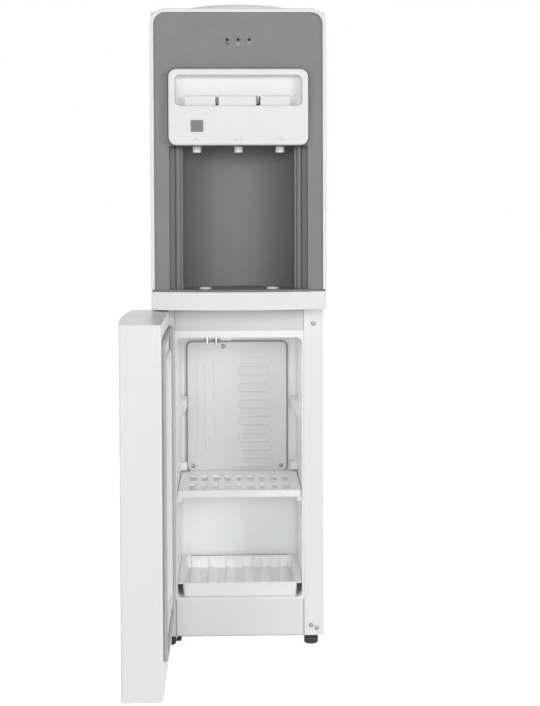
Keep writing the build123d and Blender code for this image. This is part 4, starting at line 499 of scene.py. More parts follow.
@dataclass
class Studio:
    """The camera, the floor and the lamps.

    Attributes:
        eye: Where the camera stands.
        lens: Its focal length in millimetres.
        pitch: Degrees that it looks down.
        yaw: Degrees that it looks to the right.
        roll: Degrees that it leans.
        shift: Vertical shift of the frame.
        ambient: Strength of the world's light.
    """

    eye: Point = (-0.0105, -2.3161, 0.7884)
    lens: float = 1360.0 * SENSOR_WIDTH / 706.0  # 1360 pixels for a picture 706 pixels high
    pitch: float = 2.106
    yaw: float = 1.57
    roll: float = -0.179
    shift: float = -0.145
    ambient: float = 0.12

    def camera(self) -> bpy.types.Object:
        """Makes the camera at the photograph's place and returns it."""
        pitch, yaw, roll = (math.radians(a) for a in (self.pitch, self.yaw, self.roll))
        ahead = Vector((math.sin(yaw) * math.cos(pitch), math.cos(yaw) * math.cos(pitch), -math.sin(pitch)))
        right = Vector((math.cos(yaw), -math.sin(yaw), 0.0))
        above = right.cross(ahead)
        side = right * math.cos(roll) + above * math.sin(roll)
        up = above * math.cos(roll) - right * math.sin(roll)
        data = bpy.data.cameras.new("camera")
        data.sensor_width = SENSOR_WIDTH
        data.lens = self.lens
        data.shift_y = self.shift
        camera = bpy.data.objects.new("camera", data)
        turn = Matrix((side, up, -ahead)).transposed().to_4x4()
        camera.matrix_world = Matrix.Translation(Vector(self.eye)) @ turn
        bpy.context.collection.objects.link(camera)
        bpy.context.scene.camera = camera
        return camera

    def _seen(self, sheet: NodeSheet) -> bpy.types.NodeSocket:
        """Returns 1 for rays that come straight from the camera, from gloss or through glass."""
        path = sheet.add("ShaderNodeLightPath")
        seen = sheet.math("MAXIMUM", path.outputs["Is Camera Ray"], path.outputs["Is Glossy Ray"])
        return sheet.math("MAXIMUM", seen, path.outputs["Is Transmission Ray"])

    def world(self) -> None:
        """Lights the scene evenly and shows a white background."""
        world = bpy.data.worlds.new("studio")
        bpy.context.scene.world = world
        world.use_nodes = True
        world.node_tree.nodes.clear()
        sheet = NodeSheet(world.node_tree)
        soft = sheet.add("ShaderNodeBackground", {"Color": WHITE_LIGHT, "Strength": self.ambient})
        plain = sheet.add("ShaderNodeBackground", {"Color": WHITE_LIGHT, "Strength": 1.0})
        both = sheet.add("ShaderNodeMixShader",
                         {0: self._seen(sheet), 1: soft.outputs[0], 2: plain.outputs[0]})
        sheet.add("ShaderNodeOutputWorld", {"Surface": both.outputs[0]})

    def floor(self) -> bpy.types.Object:
        """Makes a white floor that keeps the object's shadow and returns it."""
        mesh = bpy.data.meshes.new("floor")
        half = 30.0
        corners = [(-half, -half, 0.0), (half, -half, 0.0), (half, half, 0.0), (-half, half, 0.0)]
        mesh.from_pydata(corners, [], [(0, 1, 2, 3)])
        floor = bpy.data.objects.new("floor", mesh)
        bpy.context.collection.objects.link(floor)
        material = bpy.data.materials.new("floor_white")
        material.use_nodes = True
        material.node_tree.nodes.clear()
        sheet = NodeSheet(material.node_tree)
        card = sheet.add("ShaderNodeBsdfDiffuse", {"Color": (0.8, 0.8, 0.8, 1.0)})
        faint = sheet.add("ShaderNodeBsdfDiffuse", {"Color": (0.4, 0.4, 0.4, 1.0)})
        where = sheet.add("ShaderNodeTexCoord").outputs["Object"]
        away = sheet.add("ShaderNodeVectorMath", {0: where}, operation="LENGTH").outputs["Value"]
        level = sheet.span(away, 0.5, 2.4, 0.86, 1.0)
        glow = sheet.add("ShaderNodeEmission", {"Color": WHITE_LIGHT, "Strength": level})
        shown = sheet.add("ShaderNodeAddShader", {0: faint.outputs[0], 1: glow.outputs[0]})
        both = sheet.add("ShaderNodeMixShader",
                         {0: self._seen(sheet), 1: card.outputs[0], 2: shown.outputs[0]})
        sheet.add("ShaderNodeOutputMaterial", {"Surface": both.outputs[0]})
        mesh.materials.append(material)
        return floor

    def lamp(self, name: str, place: Point, target: Point, size: float, power: float) -> bpy.types.Object:
        """Adds one soft lamp.

        Args:
            name: The lamp's name.
            place: Where it hangs.
            target: Where it points.
            size: Its width.
            power: Its power in watts.

        Returns:
            The lamp.
        """
        data = bpy.data.lights.new(name, "AREA")
        data.shape = "SQUARE"
        data.size = size
        data.energy = power
        lamp = bpy.data.objects.new(name, data)
        aim = Vector(target) - Vector(place)
        turn = aim.to_track_quat("-Z", "Y").to_matrix().to_4x4()
        lamp.matrix_world = Matrix.Translation(Vector(place)) @ turn
        bpy.context.collection.objects.link(lamp)
        return lamp

    def build(self) -> None:
        """Sets up the whole studio."""
        self.camera()
        self.world()
        self.floor()
        middle = (0.0, 0.1, 0.6)
        lamps = (
            ("front_lamp", (0.0, -5.6, 1.5), (0.0, 0.1, 0.45), 1.5, 84.0),
            ("upper_fill", (0.0, 0.088, 0.536), (0.0, 0.18, 0.3), 0.06, 0.1),
            ("lower_fill", (0.0, 0.088, 0.252), (0.0, 0.16, 0.1), 0.06, 0.05),
            ("left_lamp", (-2.7, -4.9, 1.7), middle, 2.0, 66.0),
            ("right_lamp", (3.4, -4.9, 1.7), middle, 2.0, 104.0),
            ("side_lamp_left", (-4.4, 0.8, 1.6), middle, 2.4, 56.0),
            ("side_lamp_right", (4.4, 0.8, 1.6), middle, 2.4, 56.0),
            ("top_lamp", (0.2, 1.2, 4.4), middle, 2.4, 8.0),
            ("back_lamp", (0.4, 4.8, 1.8), middle, 2.4, 60.0),
        )
        for name, place, target, size, power in lamps:
            self.lamp(name, place, target, size, power)
        bpy.context.scene.view_settings.view_transform = "Standard"
        LOG.info("studio is set up")


# ---- shapes --------------------------------------------------------------------


def linked(name: str, mesh: bpy.types.Mesh) -> bpy.types.Object:
    """Makes an object of a mesh, links it to the scene and returns it."""
    piece = bpy.data.objects.new(name, mesh)
    bpy.context.collection.objects.link(piece)
    return piece


def tell(piece: bpy.types.Object) -> None:
    """Logs a finished piece with its number of faces."""
    LOG.info("%s has %d faces", piece.name, len(piece.data.polygons))


def bridge(work: bmesh.types.BMesh, near: Sequence[bmesh.types.BMVert],
           far: Sequence[bmesh.types.BMVert]) -> list[bmesh.types.BMFace]:
    """Joins two rings of the same length with faces and returns the faces."""
    after = [*range(1, len(near)), 0]
    return [work.faces.new((near[step], near[turn], far[turn], far[step]))
            for step, turn in enumerate(after)]


def from_bmesh(name: str, work: bmesh.types.BMesh, smooth: bool = True) -> bpy.types.Object:
    """Turns a bmesh into a linked object.

    Args:
        name: The object's name.
        work: The mesh under construction, which is freed.
        smooth: Whether its faces are shaded smooth.

    Returns:
        The new object.
    """
    bmesh.ops.recalc_face_normals(work, faces=work.faces[:])
    for face in work.faces:
        face.smooth = smooth
    mesh = bpy.data.meshes.new(name)
    work.to_mesh(mesh)
    work.free()
    return linked(name, mesh)


def joined(name: str, parts: Sequence[bpy.types.Object]) -> bpy.types.Object:
    """Joins pieces into one object that keeps their materials.

    Args:
        name: The new object's name.
        parts: The pieces, which are removed.

    Returns:
        The joined object.
    """
    work = bmesh.new()
    materials: list[bpy.types.Material] = []
    for part in parts:
        start = len(work.faces)
        work.from_mesh(part.data)
        work.faces.ensure_lookup_table()
        own = [slot.material for slot in part.material_slots]
        for face in work.faces[start:]:
            material = own[face.material_index] if own else None
            if material not in materials:
                materials.append(material)
            face.material_index = materials.index(material)
    mesh = bpy.data.meshes.new(name)
    work.to_mesh(mesh)
    work.free()
    for material in materials:
        mesh.materials.append(material)
    for part in parts:
        bpy.data.objects.remove(part)
    return linked(name, mesh)


def moved(piece: bpy.types.Object, change: Matrix) -> bpy.types.Object:
    """Applies a transform to the piece's mesh and returns the piece."""
    piece.data.transform(change)
    return piece


def rounded_outline(wide: float, high: float, corner: float, steps: int = 8) -> list[tuple[float, float]]:
    """Points round a rectangle with rounded corners, centred on the origin.

    Args:
        wide: Its width.
        high: Its height.
        corner: Its corner radius.
        steps: Points along each corner.

    Returns:
        The points, anticlockwise.
    """
    points = []
    for turn, (sx, sy) in enumerate(((1, 1), (-1, 1), (-1, -1), (1, -1))):
        for step in range(steps + 1):
            angle = (turn + step / steps) * math.pi / 2
            x = sx * (wide / 2 - corner) + corner * math.cos(angle)
            points.append((x, sy * (high / 2 - corner) + corner * math.sin(angle)))
    return points


def lathe(name: str, profile: Sequence[tuple[float, float]], steps: int = 32) -> bpy.types.Object:
    """Turns a profile round the Z axis.

    Args:
        name: The object's name.
        profile: Radius and height of each point, from the axis back to the axis or closed.
        steps: Segments round the axis.

    Returns:
        The turned object.
    """
    work = bmesh.new()
    points = [work.verts.new((radius, 0.0, height)) for radius, height in profile]
    edges = [work.edges.new(pair) for pair in zip(points, points[1:])]
    bmesh.ops.spin(work, geom=points + edges, cent=(0, 0, 0), axis=(0, 0, 1), angle=math.tau, steps=steps)
    bmesh.ops.remove_doubles(work, verts=work.verts[:], dist=WELD)
    return from_bmesh(name, work)


class Recipe:
    """One Geometry Nodes tree with named inputs, used once or more."""

    KINDS = {float: "NodeSocketFloat", int: "NodeSocketInt", bpy.types.Object: "NodeSocketObject"}

    def __init__(self, name: str, takes: dict[str, type]) -> None:
        """Makes the tree with its geometry and named inputs.

        Args:
            name: The tree's name.
            takes: Each input's name and Python type.
        """
        self.tree = bpy.data.node_groups.new(name, "GeometryNodeTree")
        self.tree.interface.new_socket("Geometry", in_out="OUTPUT", socket_type="NodeSocketGeometry")
        self.tree.interface.new_socket("Geometry", in_out="INPUT", socket_type="NodeSocketGeometry")
        for label, kind in takes.items():
            self.tree.interface.new_socket(label, in_out="INPUT", socket_type=self.KINDS[kind])
        self.sheet = NodeSheet(self.tree)
        self.given = self.sheet.add("NodeGroupInput").outputs

    def close(self, geometry: bpy.types.NodeSocket, material: bpy.types.Material) -> None:
        """Ends the tree with real geometry in one material.

        Args:
            geometry: What the tree has made.
            material: Its finish.
        """
        real = self.sheet.add("GeometryNodeRealizeInstances", {0: geometry})
        smooth = self.sheet.add("GeometryNodeSetShadeSmooth", {0: real.outputs[0]})
        painted = self.sheet.add("GeometryNodeSetMaterial", {0: smooth.outputs[0], "Material": material})
        self.sheet.add("NodeGroupOutput", {0: painted.outputs[0]})

    def run(self, name: str, points: Sequence[Point], edges: Sequence[tuple[int, int]],
            values: dict[str, object]) -> bpy.types.Object:
        """Runs the tree on points and edges and returns plain geometry.

        Args:
            name: The new object's name.
            points: The starting mesh's points.
            edges: Its edges.
            values: A value for each named input.

        Returns:
            A mesh object without modifiers.
        """
        mesh = bpy.data.meshes.new(name)
        mesh.from_pydata([tuple(p) for p in points], [tuple(e) for e in edges], [])
        seed = linked(name + "_seed", mesh)
        modifier = seed.modifiers.new("recipe", "NODES")
        modifier.node_group = self.tree
        for item in self.tree.interface.items_tree:
            if item.item_type == "SOCKET" and item.in_out == "INPUT" and item.name in values:
                modifier[item.identifier] = values[item.name]
        graph = bpy.context.evaluated_depsgraph_get()
        done = bpy.data.meshes.new_from_object(seed.evaluated_get(graph))
        done.name = name
        bpy.data.objects.remove(seed)
        return linked(name, done)


def chain(points: Sequence[Point], closed: bool = False) -> tuple[list[Point], list[tuple[int, int]]]:
    """Returns the points with the edges that join them in a row, or a ring if closed."""
    edges = [(index, index + 1) for index in range(len(points) - 1)]
    if closed:
        edges.append((len(points) - 1, 0))
    return list(points), edges


def swept(recipe: Recipe, radius: object, sides: int, steps: int) -> bpy.types.NodeSocket:
    """Adds a round tube along a recipe's path, with rounded bends.

    Args:
        recipe: The tree, which has an input Bend.
        radius: The tube's radius, as a value or a socket.
        sides: Flats round the tube.
        steps: Points round each bend.

    Returns:
        The tube's geometry.
    """
    sheet, given = recipe.sheet, recipe.given
    path = sheet.add("GeometryNodeMeshToCurve", {0: given["Geometry"]})
    sockets = {"Curve": path.outputs[0], "Radius": given["Bend"], "Limit Radius": True}
    soft = sheet.add("GeometryNodeFilletCurve", sockets)
    soft.mode = "POLY"
    soft.inputs["Count"].default_value = steps
    ring = sheet.add("GeometryNodeCurvePrimitiveCircle", {"Resolution": sides, "Radius": radius})
    sockets = {0: soft.outputs[0], 1: ring.outputs[0], "Fill Caps": True}
    return sheet.add("GeometryNodeCurveToMesh", sockets).outputs[0]


def bent_tube(recipe_name: str, material: bpy.types.Material, sides: int = 12) -> Recipe:
    """Builds the recipe of a round tube that follows a path with rounded bends.

    Args:
        recipe_name: The tree's name.
        material: The tube's finish.
        sides: Flats round the tube.

    Returns:
        A recipe with the inputs Radius and Bend.
    """
    recipe = Recipe(recipe_name, {"Radius": float, "Bend": float})
    recipe.close(swept(recipe, recipe.given["Radius"], sides, BEND_STEPS), material)
    return recipe


# ---- screws --------------------------------------------------------------------


@dataclass
class ScrewSet:
    """Pan-head screws with a cross recess, all facing one way.

    Attributes:
        head: Radius of a head.
        rise: Height of a head.
        shank: Radius of a shank.
        long: Length of a shank.
        slot: Half width of the cross.
        steps: Segments round a head.
    """

    finishes: Finishes
    head: float = 4.2 * MM
    rise: float = 2.2 * MM
    shank: float = 1.9 * MM
    long: float = 9.0 * MM
    slot: float = 0.55 * MM
    steps: int = 40

    def _sink(self, x: float, z: float) -> float:
        """Returns how deep the cross recess is at a place on the head."""
        arm = min(abs(x), abs(z)) < self.slot and max(abs(x), abs(z)) < self.head * 0.56
        return self.rise * 0.5 if arm else 0.0

    def one(self) -> bpy.types.Object:
        """Makes one screw at the origin, its head towards -Y, and returns it."""
        work = bmesh.new()
        rings: list[list[bmesh.types.BMVert]] = []
        shares = (0.0, 0.12, 0.2, 0.3, 0.42, 0.54, 0.6, 0.75, 0.88, 0.96, 1.0)
        for share in shares:
            ring = []
            for step in range(self.steps):
                angle = math.tau * step / self.steps
                x, z = share * self.head * math.cos(angle), share * self.head * math.sin(angle)
                dome = self.rise * (1.0 - 0.45 * share**2 - 0.3 * share**10)
                ring.append(work.verts.new((x, -dome + self._sink(x, z), z)))
            rings.append(ring)
        for radius, y in ((self.head, 0.0), (self.shank, 0.0), (self.shank, self.long),
                          (0.0, self.long + self.shank)):
            spots = [math.tau * step / self.steps for step in range(self.steps)]
            rings.append([work.verts.new((radius * math.cos(a), y, radius * math.sin(a))) for a in spots])
        for near, far in zip(rings, rings[1:]):
            bridge(work, near, far)
        bmesh.ops.remove_doubles(work, verts=work.verts[:], dist=WELD)
        return from_bmesh("screw_pattern", work)

    def recipe(self, material: bpy.types.Material) -> Recipe:
        """Builds the recipe that sets a screw on each point, each turned its own way.

        Args:
            material: The screws' finish.

        Returns:
            A recipe with the inputs Screw, Scale and Seed.
        """
        recipe = Recipe("screw_row", {"Screw": bpy.types.Object, "Scale": float, "Seed": int})
        sheet, given = recipe.sheet, recipe.given
        screw = sheet.add("GeometryNodeObjectInfo", {"Object": given["Screw"]})
        turn = sheet.add("FunctionNodeRandomValue", data_type="FLOAT")
        sheet.feed(turn, 3, math.tau)
        sheet.feed(turn, "Seed", given["Seed"])
        spin = sheet.add("ShaderNodeCombineXYZ", {1: turn.outputs[1]})
        sockets = {"Points": given["Geometry"], "Instance": screw.outputs["Geometry"],
                   "Rotation": spin.outputs[0], "Scale": given["Scale"]}
        placed = sheet.add("GeometryNodeInstanceOnPoints", sockets)
        recipe.close(placed.outputs[0], material)
        return recipe

    def place(self, name: str, places: Sequence[Point], scale: float = 1.0,
              seed: int = 3) -> bpy.types.Object:
        """Sets a screw at each place.

        Args:
            name: The piece's name.
            places: Where each head meets its sheet.
            scale: Size of the screws.
            seed: Seed of their turns.

        Returns:
            One mesh with every screw.
        """
        pattern = self.one()
        recipe = self.recipe(self.finishes["screw_steel"])
        piece = recipe.run(name, places, [], {"Screw": pattern, "Scale": scale, "Seed": seed})
        bpy.data.objects.remove(pattern)
        return piece


# ---- cold plate ----------------------------------------------------------------


@dataclass
class ColdPlate:
    """The aluminium evaporator plate at the back of the refrigerated cabinet.

    Attributes:
        left: X of its left edge.
        right: X of its right edge.
        low: Z of its lower edge.
        high: Z of its upper edge.
        front: Y of its front face.
        thick: Its thickness.
        corner: Its corner radius.
        band: Width of the dark band round its edge, a painted shadow.
        edge_rings: Rings of faces that the dark band takes up.
        channel: Width of a raised channel.
        rise: Height of a raised channel.
        pitch: Distance between channels.
        sunk: How far a channel's middle line lies before the front face.
        count: Runs of the serpentine channel.
        off_middle: How far right of the plate's middle those runs start.
        uprights: Number of straight upright channels.
        upright_inset: Distance of the first from the left edge.
        upright_margin: Distance of their ends from the upper and lower edge.
        pipes: X of the two pipes.
        pipe_z: Height at which the pipes turn back.
        pipe_end: Y at which they end.
        pipe_ahead: How far they stand before the front face.
        pipe_tail: How far below the upper edge they start.
        pipe_radius: Their radius.
        pipe_bend: Radius of their bends.
    """

    finishes: Finishes
    left: float = -100.0 * MM
    right: float = 93.0 * MM
    low: float = 271.0 * MM
    high: float = 523.0 * MM
    front: float = 261.4 * MM
    thick: float = 1.6 * MM
    corner: float = 12.0 * MM
    band: float = 2.6 * MM
    edge_rings: int = 3
    channel: float = 4.6 * MM
    rise: float = 0.9 * MM
    pitch: float = 16.0 * MM
    sunk: float = 0.3 * MM
    count: int = 14
    off_middle: float = 4 * MM
    uprights: int = 3
    upright_inset: float = 22 * MM
    upright_margin: float = 40 * MM
    pipes: tuple[float, float] = (-60.0 * MM, -43.0 * MM)
    pipe_z: float = 535.0 * MM
    pipe_end: float = 297.0 * MM
    pipe_ahead: float = 1.4 * MM
    pipe_tail: float = 7 * MM
    pipe_radius: float = 2.5 * MM
    pipe_bend: float = 6 * MM

    def _sheet(self) -> bpy.types.Object:
        """Makes the plate with its rolled edge, dark as a painted shadow, and returns it."""
        middle = ((self.left + self.right) / 2, (self.low + self.high) / 2)
        wide, high = self.right - self.left, self.high - self.low
        work = bmesh.new()
        rings = []
        for inset, y in ((0.0, self.thick), (0.0, 0.5 * MM), (0.5 * MM, 0.0), (self.band, 0.0),
                         (self.band + 0.4 * MM, -0.5 * MM), (self.band + 1.6 * MM, -0.5 * MM)):
            outline = rounded_outline(wide - 2 * inset, high - 2 * inset, self.corner - inset)
            rings.append([work.verts.new((middle[0] + x, self.front + y, middle[1] + z)) for x, z in outline])
        for ring, (near, far) in enumerate(zip(rings, rings[1:])):
            for face in bridge(work, near, far):
                # The outer rings take the dark finish, a painted shadow round the plate.
                face.material_index = 1 if ring < self.edge_rings else 0
        work.faces.new(rings[-1])
        work.faces.new(rings[0])
        piece = from_bmesh("plate_sheet", work)
        piece.data.materials.append(self.finishes["cold_plate"])
        piece.data.materials.append(self.finishes["plate_shadow_band"])
        return piece

    def _channels(self) -> bpy.types.Object:
        """Makes the raised channels and returns them."""
        recipe = Recipe("raised_channels", {"Width": float, "Rise": float, "Bend": float})
        sheet, given = recipe.sheet, recipe.given
        tube = swept(recipe, sheet.math("MULTIPLY", given["Width"], 0.5), 14, 5)
        share = sheet.math("DIVIDE", sheet.math("MULTIPLY", given["Rise"], 2.0), given["Width"])
        squeeze = sheet.add("ShaderNodeCombineXYZ", {0: 1.0, 1: share, 2: 1.0}).outputs[0]
        y = self.front - self.sunk
        centre = (0.0, y, 0.0)
        spot = sheet.add("GeometryNodeInputPosition").outputs[0]
        for operation, value in (("SUBTRACT", centre), ("MULTIPLY", squeeze), ("ADD", centre)):
            node = sheet.add("ShaderNodeVectorMath", {0: spot, 1: value}, operation=operation)
            spot = node.outputs[0]
        flat = sheet.add("GeometryNodeSetPosition", {"Geometry": tube, "Position": spot})
        recipe.close(flat.outputs[0], self.finishes["cold_plate"])
        points: list[Point] = []
        start, end = (self.left + self.right) / 2 + self.off_middle, self.right - 2 * self.pitch
        for run in range(self.count):
            z = self.low + self.corner + run * self.pitch
            near, far = (start, end) if run % 2 == 0 else (end, start)
            points += [(near, y, z), (far, y, z)]
        edges = chain(points)[1]
        low, high = self.low + self.upright_margin, self.high - self.upright_margin
        for run in range(self.uprights):
            x = self.left + self.upright_inset + run * self.pitch
            base = len(points)
            points += [(x, y, low), (x, y, high)]
            edges.append((base, base + 1))
        sizes = {"Width": self.channel, "Rise": self.rise, "Bend": self.pitch * 0.45}
        return recipe.run("plate_channels", points, edges, sizes)

    def _dimples(self) -> bpy.types.Object:
        """Makes the round spot welds near the left channels and returns them."""
        work = bmesh.new()
        for x, z in ((-66, 362), (-66, 346), (-79, 334), (-54, 329), (-63, 317), (-75, 352), (-58, 338)):
            place = Matrix.Translation((x * MM, self.front - 0.5 * MM, z * MM))
            spot = place @ Matrix.Diagonal((1, 0.35, 1, 1))
            bmesh.ops.create_uvsphere(work, u_segments=16, v_segments=10, radius=2.2 * MM, matrix=spot)
        piece = from_bmesh("plate_spots", work)
        self.finishes.dress(piece, "cold_plate")
        return piece

    def _pipes(self) -> bpy.types.Object:
        """Makes the two pipes that turn back through the liner and returns them."""
        recipe = bent_tube("plate_pipe", self.finishes["pipe_aluminium"], 16)
        points: list[Point] = []
        edges: list[tuple[int, int]] = []
        for x in self.pipes:
            base = len(points)
            y = self.front - self.pipe_ahead
            points += [(x, y, self.high - self.pipe_tail), (x, y, self.pipe_z)]
            points.append((x, self.pipe_end, self.pipe_z))
            edges += [(base, base + 1), (base + 1, base + 2)]
        sizes = {"Radius": self.pipe_radius, "Bend": self.pipe_bend}
        return recipe.run("plate_pipes", points, edges, sizes)

    def build(self) -> bpy.types.Object:
        """Builds the plate, sets it on the cabinet and returns it."""
        piece = joined("cold_plate", [self._sheet(), self._channels(), self._dimples(), self._pipes()])
        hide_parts("evaporator_plate")
        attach(piece, "cabinet")
        tell(piece)
        return piece


# ---- door seal -----------------------------------------------------------------


@dataclass
class DoorSeal:
    """The bellows seal all round the door's inner face.

    Attributes:
        half: Half its width.
        low: Z of its lower edge.
        high: Z of its upper edge.
        wide: Width of the strip.
        back: Y of the door's inner face when shut.
        front: Y of the seal's face when shut.
        corner: Radius of its outer corners.
        hinge: X and Y of the hinge.
        open_angle: Degrees that the door stands open at rest.
    """

    finishes: Finishes
    half: float = 125.0 * MM
    low: float = 66.0 * MM
    high: float = 575.0 * MM
    wide: float = 11.0 * MM
    back: float = 65.0 * MM
    front: float = 71.5 * MM
    corner: float = 10.0 * MM
    hinge: tuple[float, float] = (-139.0 * MM, 47.0 * MM)
    open_angle: float = 90.0

    def _section(self) -> list[tuple[float, float]]:
        """Returns the strip's section: distance from its middle line, and height above the door."""
        half, high = self.wide / 2, self.front - self.back
        return [
            (-half * 0.55, 0.0), (half * 0.55, 0.0), (half * 0.5, high * 0.22), (half * 0.92, high * 0.34),
            (half, high * 0.5), (half * 0.9, high * 0.68), (half * 0.62, high * 0.72),
            (half * 0.7, high * 0.84), (half * 0.6, high), (-half * 0.6, high), (-half * 0.7, high * 0.84),
            (-half * 0.62, high * 0.72), (-half * 0.9, high * 0.68), (-half, high * 0.5),
            (-half * 0.92, high * 0.34), (-half * 0.5, high * 0.22),
        ]

    def build(self) -> bpy.types.Object:
        """Builds the seal on the open door and returns it."""
        section_points, section_edges = chain([(x, y, 0.0) for x, y in self._section()], closed=True)
        mesh = bpy.data.meshes.new("seal_section")
        mesh.from_pydata(section_points, section_edges, [])
        section = linked("seal_section", mesh)
        recipe = Recipe("seal_strip", {"Section": bpy.types.Object})
        sheet, given = recipe.sheet, recipe.given
        path = sheet.add("GeometryNodeMeshToCurve", {0: given["Geometry"]})
        level = sheet.add("GeometryNodeSetCurveNormal", {0: path.outputs[0]})
        level.mode = "Z_UP"
        shape = sheet.add("GeometryNodeObjectInfo", {"Object": given["Section"]})
        ring = sheet.add("GeometryNodeMeshToCurve", {0: shape.outputs["Geometry"]})
        strip = sheet.add("GeometryNodeCurveToMesh", {0: level.outputs[0], 1: ring.outputs[0]})
        recipe.close(strip.outputs[0], self.finishes["gasket_grey"])
        inset = self.wide / 2
        wide, high = 2 * self.half - self.wide, self.high - self.low - self.wide
        outline = [(x, y, 0.0) for x, y in rounded_outline(wide, high, self.corner - inset, 8)]
        seal = recipe.run("door_seal", *chain(outline, closed=True), {"Section": section})
        bpy.data.objects.remove(section)
        seal.data.transform(Matrix.Rotation(math.radians(90.0), 4, "X"))
        # Which side the section falls on depends on the curve's normal, so it is mirrored if it
        # fell behind the door's face. The normals are recalculated below.
        if min(vertex.co.y for vertex in seal.data.vertices) < -0.1 * MM:
            seal.data.transform(Matrix.Diagonal((1.0, -1.0, 1.0, 1.0)))
        place = Matrix.Translation((0.0, self.back, (self.low + self.high) / 2))
        pin = Matrix.Translation((*self.hinge, 0.0))
        swing = pin @ Matrix.Rotation(-math.radians(self.open_angle), 4, "Z") @ pin.inverted()
        seal.data.transform(swing @ place)
        work = bmesh.new()
        work.from_mesh(seal.data)
        bmesh.ops.remove_doubles(work, verts=work.verts[:], dist=WELD)
        bmesh.ops.recalc_face_normals(work, faces=work.faces[:])
        work.to_mesh(seal.data)
        work.free()
        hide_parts("door_gasket")
        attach(seal, "door")
        tell(seal)
        return seal


# ---- condenser -----------------------------------------------------------------


@dataclass
class WireCondenser:
    """The serpentine tube and upright wires behind the back panel.

    Attributes:
        half: Half the width of the tube's runs.
        bottom: Z of the lowest run.
        pitch: Distance between runs.
        runs: Number of runs.
        depth: Y of the tube's centre.
        tube: Radius of the tube.
        bend: Radius of its bends.
        wire: Radius of a wire.
        wires: Number of wires.
        wire_inset: How far the outer wires stand inside the bends.
        wire_gap: Clearance between wire and tube.
        over: How far a wire runs past the lowest and highest run.
        inlet: X, Y and Z of the tube's turn above the compressor.
        joint_z: Z at which the tube starts.
    """

    finishes: Finishes
    half: float = 104.0 * MM
    bottom: float = 340.0 * MM
    pitch: float = 50.0 * MM
    runs: int = 13
    depth: float = 382.0 * MM
    tube: float = 2.4 * MM
    bend: float = 16.0 * MM
    wire: float = 0.9 * MM
    wires: int = 24
    wire_inset: float = 6 * MM
    wire_gap: float = 0.05 * MM
    over: float = 12.0 * MM
    inlet: Point = (40.0 * MM, 328.0 * MM, 202.0 * MM)
    joint_z: float = 178.0 * MM

    def _pipe(self) -> bpy.types.Object:
        """Makes the tube and returns it."""
        x, y, z = self.inlet
        route: list[Point] = [(x, y, self.joint_z), (x, y, z), (x, self.depth, z), (self.half, self.depth, z)]
        for run in range(self.runs):
            height = self.bottom + run * self.pitch
            near = self.half if run % 2 == 0 else -self.half
            route += [(near, self.depth, height), (-near, self.depth, height)]
        recipe = bent_tube("condenser_tube", self.finishes["condenser_black"], 14)
        return recipe.run("condenser_pipe", *chain(route), {"Radius": self.tube, "Bend": self.bend})

    def _wires(self) -> bpy.types.Object:
        """Makes the upright wires and returns them."""
        first = -(self.half - self.bend - self.wire_inset)
        gap = -2 * first / (self.wires - 1)
        low, high = self.bottom - self.over, self.bottom + (self.runs - 1) * self.pitch + self.over
        recipe = Recipe("upright_wires", {"Count": int, "Gap": float, "Length": float, "Radius": float})
        sheet, given = recipe.sheet, recipe.given
        step = sheet.add("ShaderNodeCombineXYZ", {0: given["Gap"]})
        row = sheet.add("GeometryNodeMeshLine", {"Count": given["Count"], "Offset": step.outputs[0]})
        rod = sheet.add("GeometryNodeMeshCylinder",
                        {"Vertices": 10, "Radius": given["Radius"], "Depth": given["Length"]})
        set_on = sheet.add("GeometryNodeInstanceOnPoints",
                           {"Points": row.outputs[0], "Instance": rod.outputs[0]})
        recipe.close(set_on.outputs[0], self.finishes["condenser_black"])
        sizes = {"Count": self.wires, "Gap": gap, "Length": high - low, "Radius": self.wire}
        wires = recipe.run("condenser_wires", [(0.0, 0.0, 0.0)], [], sizes)
        y = self.depth + self.tube + self.wire + self.wire_gap
        return moved(wires, Matrix.Translation((first, y, (low + high) / 2)))

    def build(self) -> bpy.types.Object:
        """Builds the condenser, sets it on the cabinet and returns it."""
        piece = joined("wire_condenser", [self._pipe(), self._wires()])
        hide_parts("condenser")
        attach(piece, "cabinet")
        tell(piece)
        return piece


# ---- marks on the tower --------------------------------------------------------


